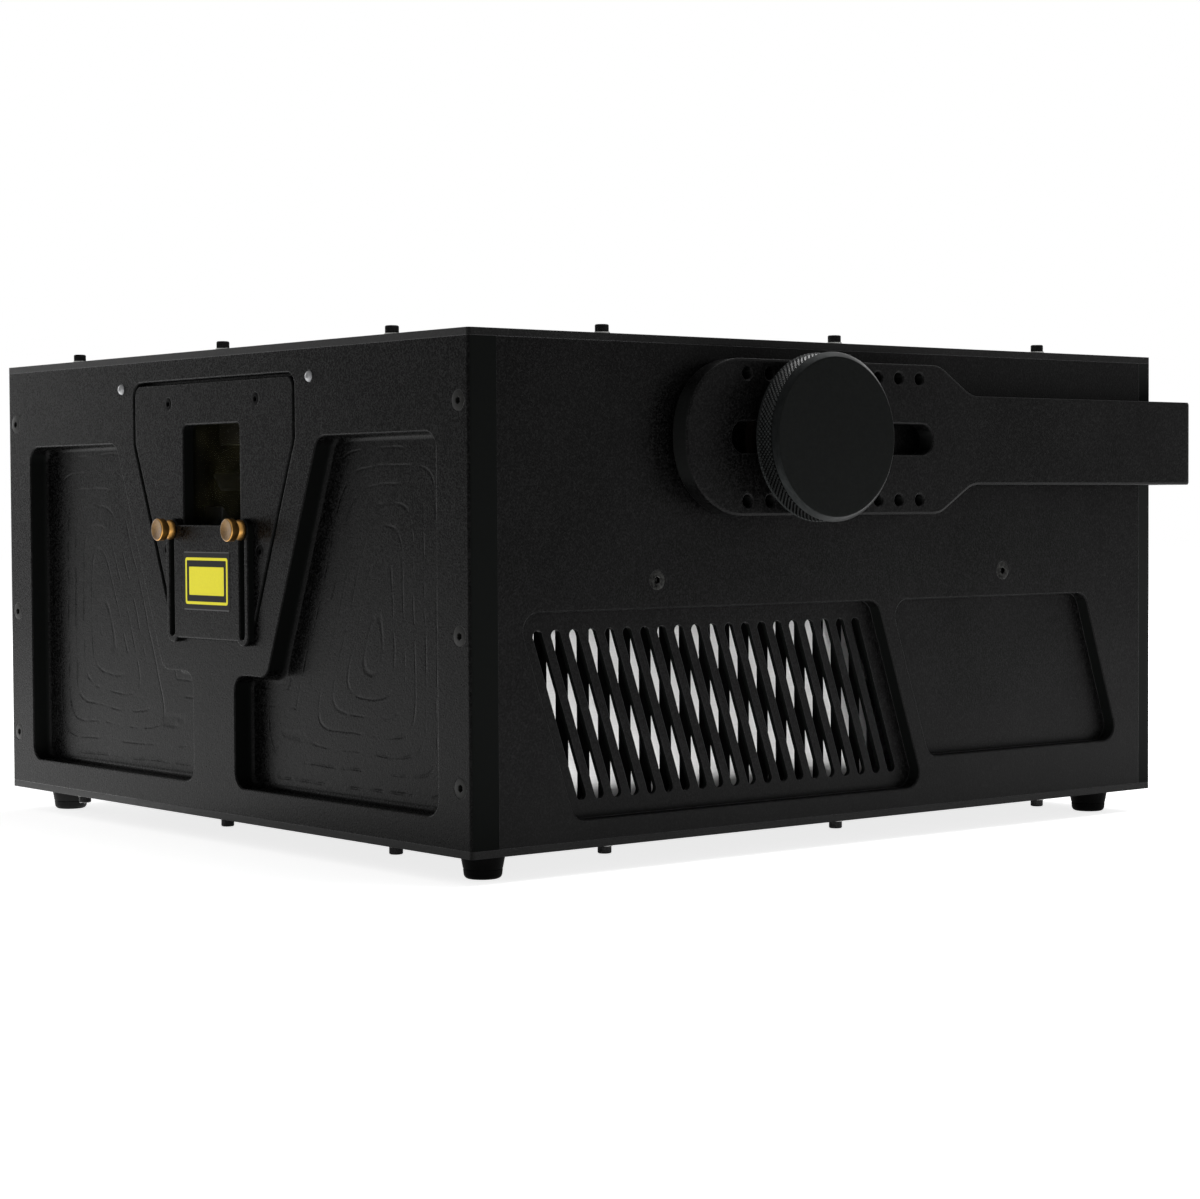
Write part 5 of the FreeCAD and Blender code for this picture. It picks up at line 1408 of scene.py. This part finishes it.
    def _fuse(self) -> None:
        """Fuse holder with a fluted cap."""
        fluted = self.fuse_radius - self.flute_depth * np.abs(np.sin(angles(FINE) * self.fuse_flutes))
        profile = [(6.0, -36.0), (6.0, -8.0), (7.4, -8.0), (7.45, -6.6), (fluted, -6.0), (fluted, -1.2),
                   (6.6, -0.4), (5.6, 0.0), (4.9, 0.0), (4.7, -0.5), (2.0, -0.5)]
        cap = lathe(profile, FINE).carried(self._middle_seat("fuse_holder"))
        Piece("fluted_fuse_holder", "black_plastic", [(cap, Paint.PLASTIC)], ("fuse_holder",)).build()

    def _key(self) -> None:
        """Key with a round blade and a flat oval bow with a hole in it."""
        seat = self._middle_seat("key")
        length = (self.frame.rear("key") - self.frame.front("key")) / MM
        blade = lathe([(2.8, -length), (3.0, -length + 0.3), (3.0, -9.0), (2.6, -8.4), (0.8, -8.2)], 32)
        turn = angles(ROUND)
        circle = np.stack([np.cos(turn), np.sin(turn)], axis=-1)
        oval, hole = circle * self.key_bow, circle * self.key_hole
        bow = stacked([(oval * 0.97, -1.0), (oval, -0.75), (oval, 0.75), (oval * 0.97, 1.0),
                       (hole * 1.1, 1.0), (hole, 0.8), (hole, -0.8), (hole * 1.1, -1.0)], loop=True)
        bow_seat = Seat(seat.shifted(y=-self.key_bow[0]).origin, RIGHT, REARWARD)
        parts = [(blade.carried(seat), Paint.STEEL), (bow.carried(bow_seat), Paint.STEEL)]
        Piece("pressed_key", "plated_steel", parts, ("key",), "key").build()

    def _signal(self) -> None:
        """Wide signal socket: a tapered shell round an insert with two rows of holes."""
        seat, floor = self._middle_seat("signal_socket"), self.floor
        width, height = self.signal_size
        outer = rounded_outline(width, height, 2.2)
        outer[:, 0] *= 1 - self.signal_taper * outer[:, 1] / (height / 2)
        inner = outer * np.array(self.signal_wall)
        shell = stacked([(outer, floor), (outer, -0.3), (outer * 0.99, 0.0), (inner * 1.01, 0.0),
                         (inner, -0.3), (inner, floor)], loop=True)
        face = self.signal_face
        insert = stacked([(inner, floor), (inner, face), (inner * 0.4, face)])
        body = slab(rounded_outline(*self.signal_body, 1.0), self.signal_back, floor)
        hole = lathe([(0.75, face - 0.1), (0.75, face + 0.05), (0.55, face + 0.08), (0.45, face - 0.05)], 16)
        across, up = self.signal_pitch
        middle = (self.signal_row - 1) / 2
        holes = [seat.shifted((i - middle + 0.5 * row) * across, 0.0, (0.5 - row) * up)
                 for row in (0, 1) for i in range(self.signal_row - row)]
        parts = [(shell.carried(seat), Paint.ZINC), (insert.carried(seat), Paint.PLASTIC),
                 (body.carried(seat), Paint.PLASTIC), (hole.repeated(holes), Paint.GOLD)]
        Piece("signal_shell", "black_plastic", parts, ("signal_socket",)).build()

    def _jack_screws(self) -> None:
        """Two hexagonal posts beside the signal socket, with a hole in each for its plug's screw."""
        flats = hexagon(self.post_flats)
        post = lathe([(flats, -0.4), (flats, 4.5), (flats * 0.94, 4.8), (1.6, 4.8), (1.4, 4.6), (1.4, 1.4),
                      (0.4, 1.4)])
        across, _, level = self.frame.middle("signal_socket")
        seat = Seat((across, self.frame.rear("rear_plate"), level), REARWARD, LEFT)
        seats = [seat.shifted(sign * self.post_spread) for sign in SIDES]
        Piece("signal_jack_screws", "plated_steel", [(post.repeated(seats), Paint.ZINC)]).build()


@dataclass
class Studio:
    """Pale floor, soft light and the camera.

    A lamp has its spot, the point that it faces, its side and its power in watts. A card has its middle on
    the floor, its length and width, its heading in degrees and its brightness, where 1 is white.
    """

    frame: Frame
    focal_pixels: float = 2743.578
    image_width: int = 1200
    sensor: float = 36.0
    stand: Spot = (1011.827, -610.098, 133.461)
    yaw: float = 50.86524
    pitch: float = -1.98908
    roll: float = -0.30983
    floor_half: float = 6.0
    floor_grain: float = 40 * MM
    floor_tones: tuple[Colour, Colour] = (grey(0.9), grey(0.94))
    floor_glow: float = 0.8
    world_light: float = 0.22
    card_lift: float = 0.5 * MM
    lamps: tuple[tuple[str, Spot, Spot, float, float], ...] = (
        ("key_light", (-2.4, -0.6, 0.6), (-0.1, -0.2, 0.1), 1.0, 10.5),
        ("top_light", (0.5, 0.7, 1.9), (0.0, 0.0, 0.1), 1.4, 20.0),
        ("side_light", (2.1, 1.5, 0.5), (0.2, 0.0, 0.1), 0.9, 2.0),
        ("back_light", (-1.3, 1.6, 1.4), (0.0, 0.0, 0.1), 1.2, 14.0),
    )
    cards: tuple[tuple[str, Size, Size, float, float], ...] = (
        ("front_card", (-1.01, -0.81), (2.2, 0.7), 30.5, 2.9),
        ("near_card", (0.2, -0.6), (0.44, 0.66), 0.0, 1.7),
        ("side_card", (0.8, 0.2), (0.7, 0.86), 0.0, 1.3),
        ("side_strip", (0.325, 0.1), (0.2, 0.66), 0.0, 3.2),
        ("rear_card", (0.0, 0.65), (1.2, 0.7), 0.0, 1.8),
        ("left_card", (-0.6, 0.25), (0.7, 0.8), 0.0, 1.8),
    )

    def build(self) -> None:
        """Makes the floor, world, lamps and camera."""
        bpy.context.scene.view_settings.view_transform = "Standard"
        self._floor()
        self._world()
        for name, spot, aim, side, power in self.lamps:
            turn = (Vector(aim) - Vector(spot)).to_track_quat("-Z", "Y").to_euler()
            self._area(name, spot, turn, (side, side), power)
        for name, middle, size, heading, glow in self.cards:
            turn = (math.pi, 0.0, math.radians(heading))
            self._area(name, (*middle, self.card_lift), turn, size, glow * math.pi * size[0] * size[1])
        self._camera()

    @staticmethod
    def _seen(tree: Tree) -> Signal:
        """Tells the rays that show something from the light that falls on it.

        Args:
            tree: the node tree of the floor or the world.

        Returns:
            1 for rays from the camera, a reflection or a pane, 0 for others.
        """
        path = tree.node("ShaderNodeLightPath")
        rays = [Signal(tree, path.outputs[name])
                for name in ("Is Camera Ray", "Is Glossy Ray", "Is Transmission Ray")]
        return rays[0].most(rays[1]).most(rays[2])

    def _floor(self) -> None:
        """Wide pale floor that takes the object's shadow."""
        half = self.floor_half
        corners = [(-half, -half, 0), (half, -half, 0), (half, half, 0), (-half, half, 0)]
        mesh = bpy.data.meshes.new("floor")
        mesh.from_pydata(corners, [], [(0, 1, 2, 3)])
        material = bpy.data.materials.new("pale_floor")
        material.use_nodes = True
        tree = Tree(material.node_tree)
        grain = tree.blend(tree.noise(self.floor_grain), *self.floor_tones)
        matt = tree.signal("ShaderNodeBsdfDiffuse", inputs={"Color": grain})
        glow = tree.signal("ShaderNodeEmission", inputs={"Strength": self._seen(tree) * self.floor_glow})
        both = tree.signal("ShaderNodeAddShader", inputs={0: matt, 1: glow})
        tree.node("ShaderNodeOutputMaterial", inputs={"Surface": both})
        mesh.materials.append(material)
        floor = bpy.data.objects.new("floor", mesh)
        bpy.context.scene.collection.objects.link(floor)
        floor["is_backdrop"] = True

    def _world(self) -> None:
        """White where it is seen, softer where it lights."""
        world = bpy.data.worlds.new("studio")
        world.use_nodes = True
        bpy.context.scene.world = world
        tree = Tree(world.node_tree)
        strength = self._seen(tree) * (1.0 - self.world_light) + self.world_light
        inputs = {"Color": (1.0, 1.0, 1.0, 1.0), "Strength": strength}
        light = tree.signal("ShaderNodeBackground", inputs=inputs)
        tree.node("ShaderNodeOutputWorld", inputs={"Surface": light})

    @staticmethod
    def _area(name: str, spot: Spot, turn: Sequence[float], size: Size, power: float) -> None:
        """Adds an area light that the camera itself doesn't see.

        Args:
            name: its name.
            spot: where its middle is.
            turn: its rotation about the three axes.
            size: its length and width.
            power: its power in watts.
        """
        data = bpy.data.lights.new(name, "AREA")
        data.shape = "RECTANGLE"
        data.size, data.size_y = size
        data.energy = power
        lamp = bpy.data.objects.new(name, data)
        lamp.location = spot
        lamp.rotation_euler = turn
        lamp.visible_camera = False
        bpy.context.scene.collection.objects.link(lamp)

    def _camera(self) -> None:
        """Camera at the photograph's viewpoint, from the fitted angles and focal length."""
        yaw, pitch, roll = (math.radians(turn) for turn in (self.yaw, self.pitch, self.roll))
        ahead = Vector((-math.sin(yaw) * math.cos(pitch), math.cos(yaw) * math.cos(pitch), math.sin(pitch)))
        right = Vector((math.cos(yaw), math.sin(yaw), 0.0))
        up = right.cross(ahead)
        across = right * math.cos(roll) + up * math.sin(roll)
        above = up * math.cos(roll) - right * math.sin(roll)
        low = self.frame.box("base_cover")[0]
        data = bpy.data.cameras.new("camera")
        data.sensor_fit = "HORIZONTAL"
        data.sensor_width = self.sensor
        data.lens = self.focal_pixels * self.sensor / self.image_width
        camera = bpy.data.objects.new("camera", data)
        turn = Matrix((across, above, -ahead)).transposed().to_4x4()
        place = Vector(self.stand) * MM + Vector((0.0, float(low[1]), float(low[2])))
        camera.matrix_world = Matrix.Translation(place) @ turn
        bpy.context.scene.collection.objects.link(camera)
        bpy.context.scene.camera = camera


def main() -> None:
    """Builds the projector and its studio."""
    logging.basicConfig(level=logging.INFO)
    frame = Frame()
    for maker in (Studio, Casing, BeamMask, Yoke, Inside, RearPanel):
        maker(frame).build()


if __name__ == "__main__":
    main()
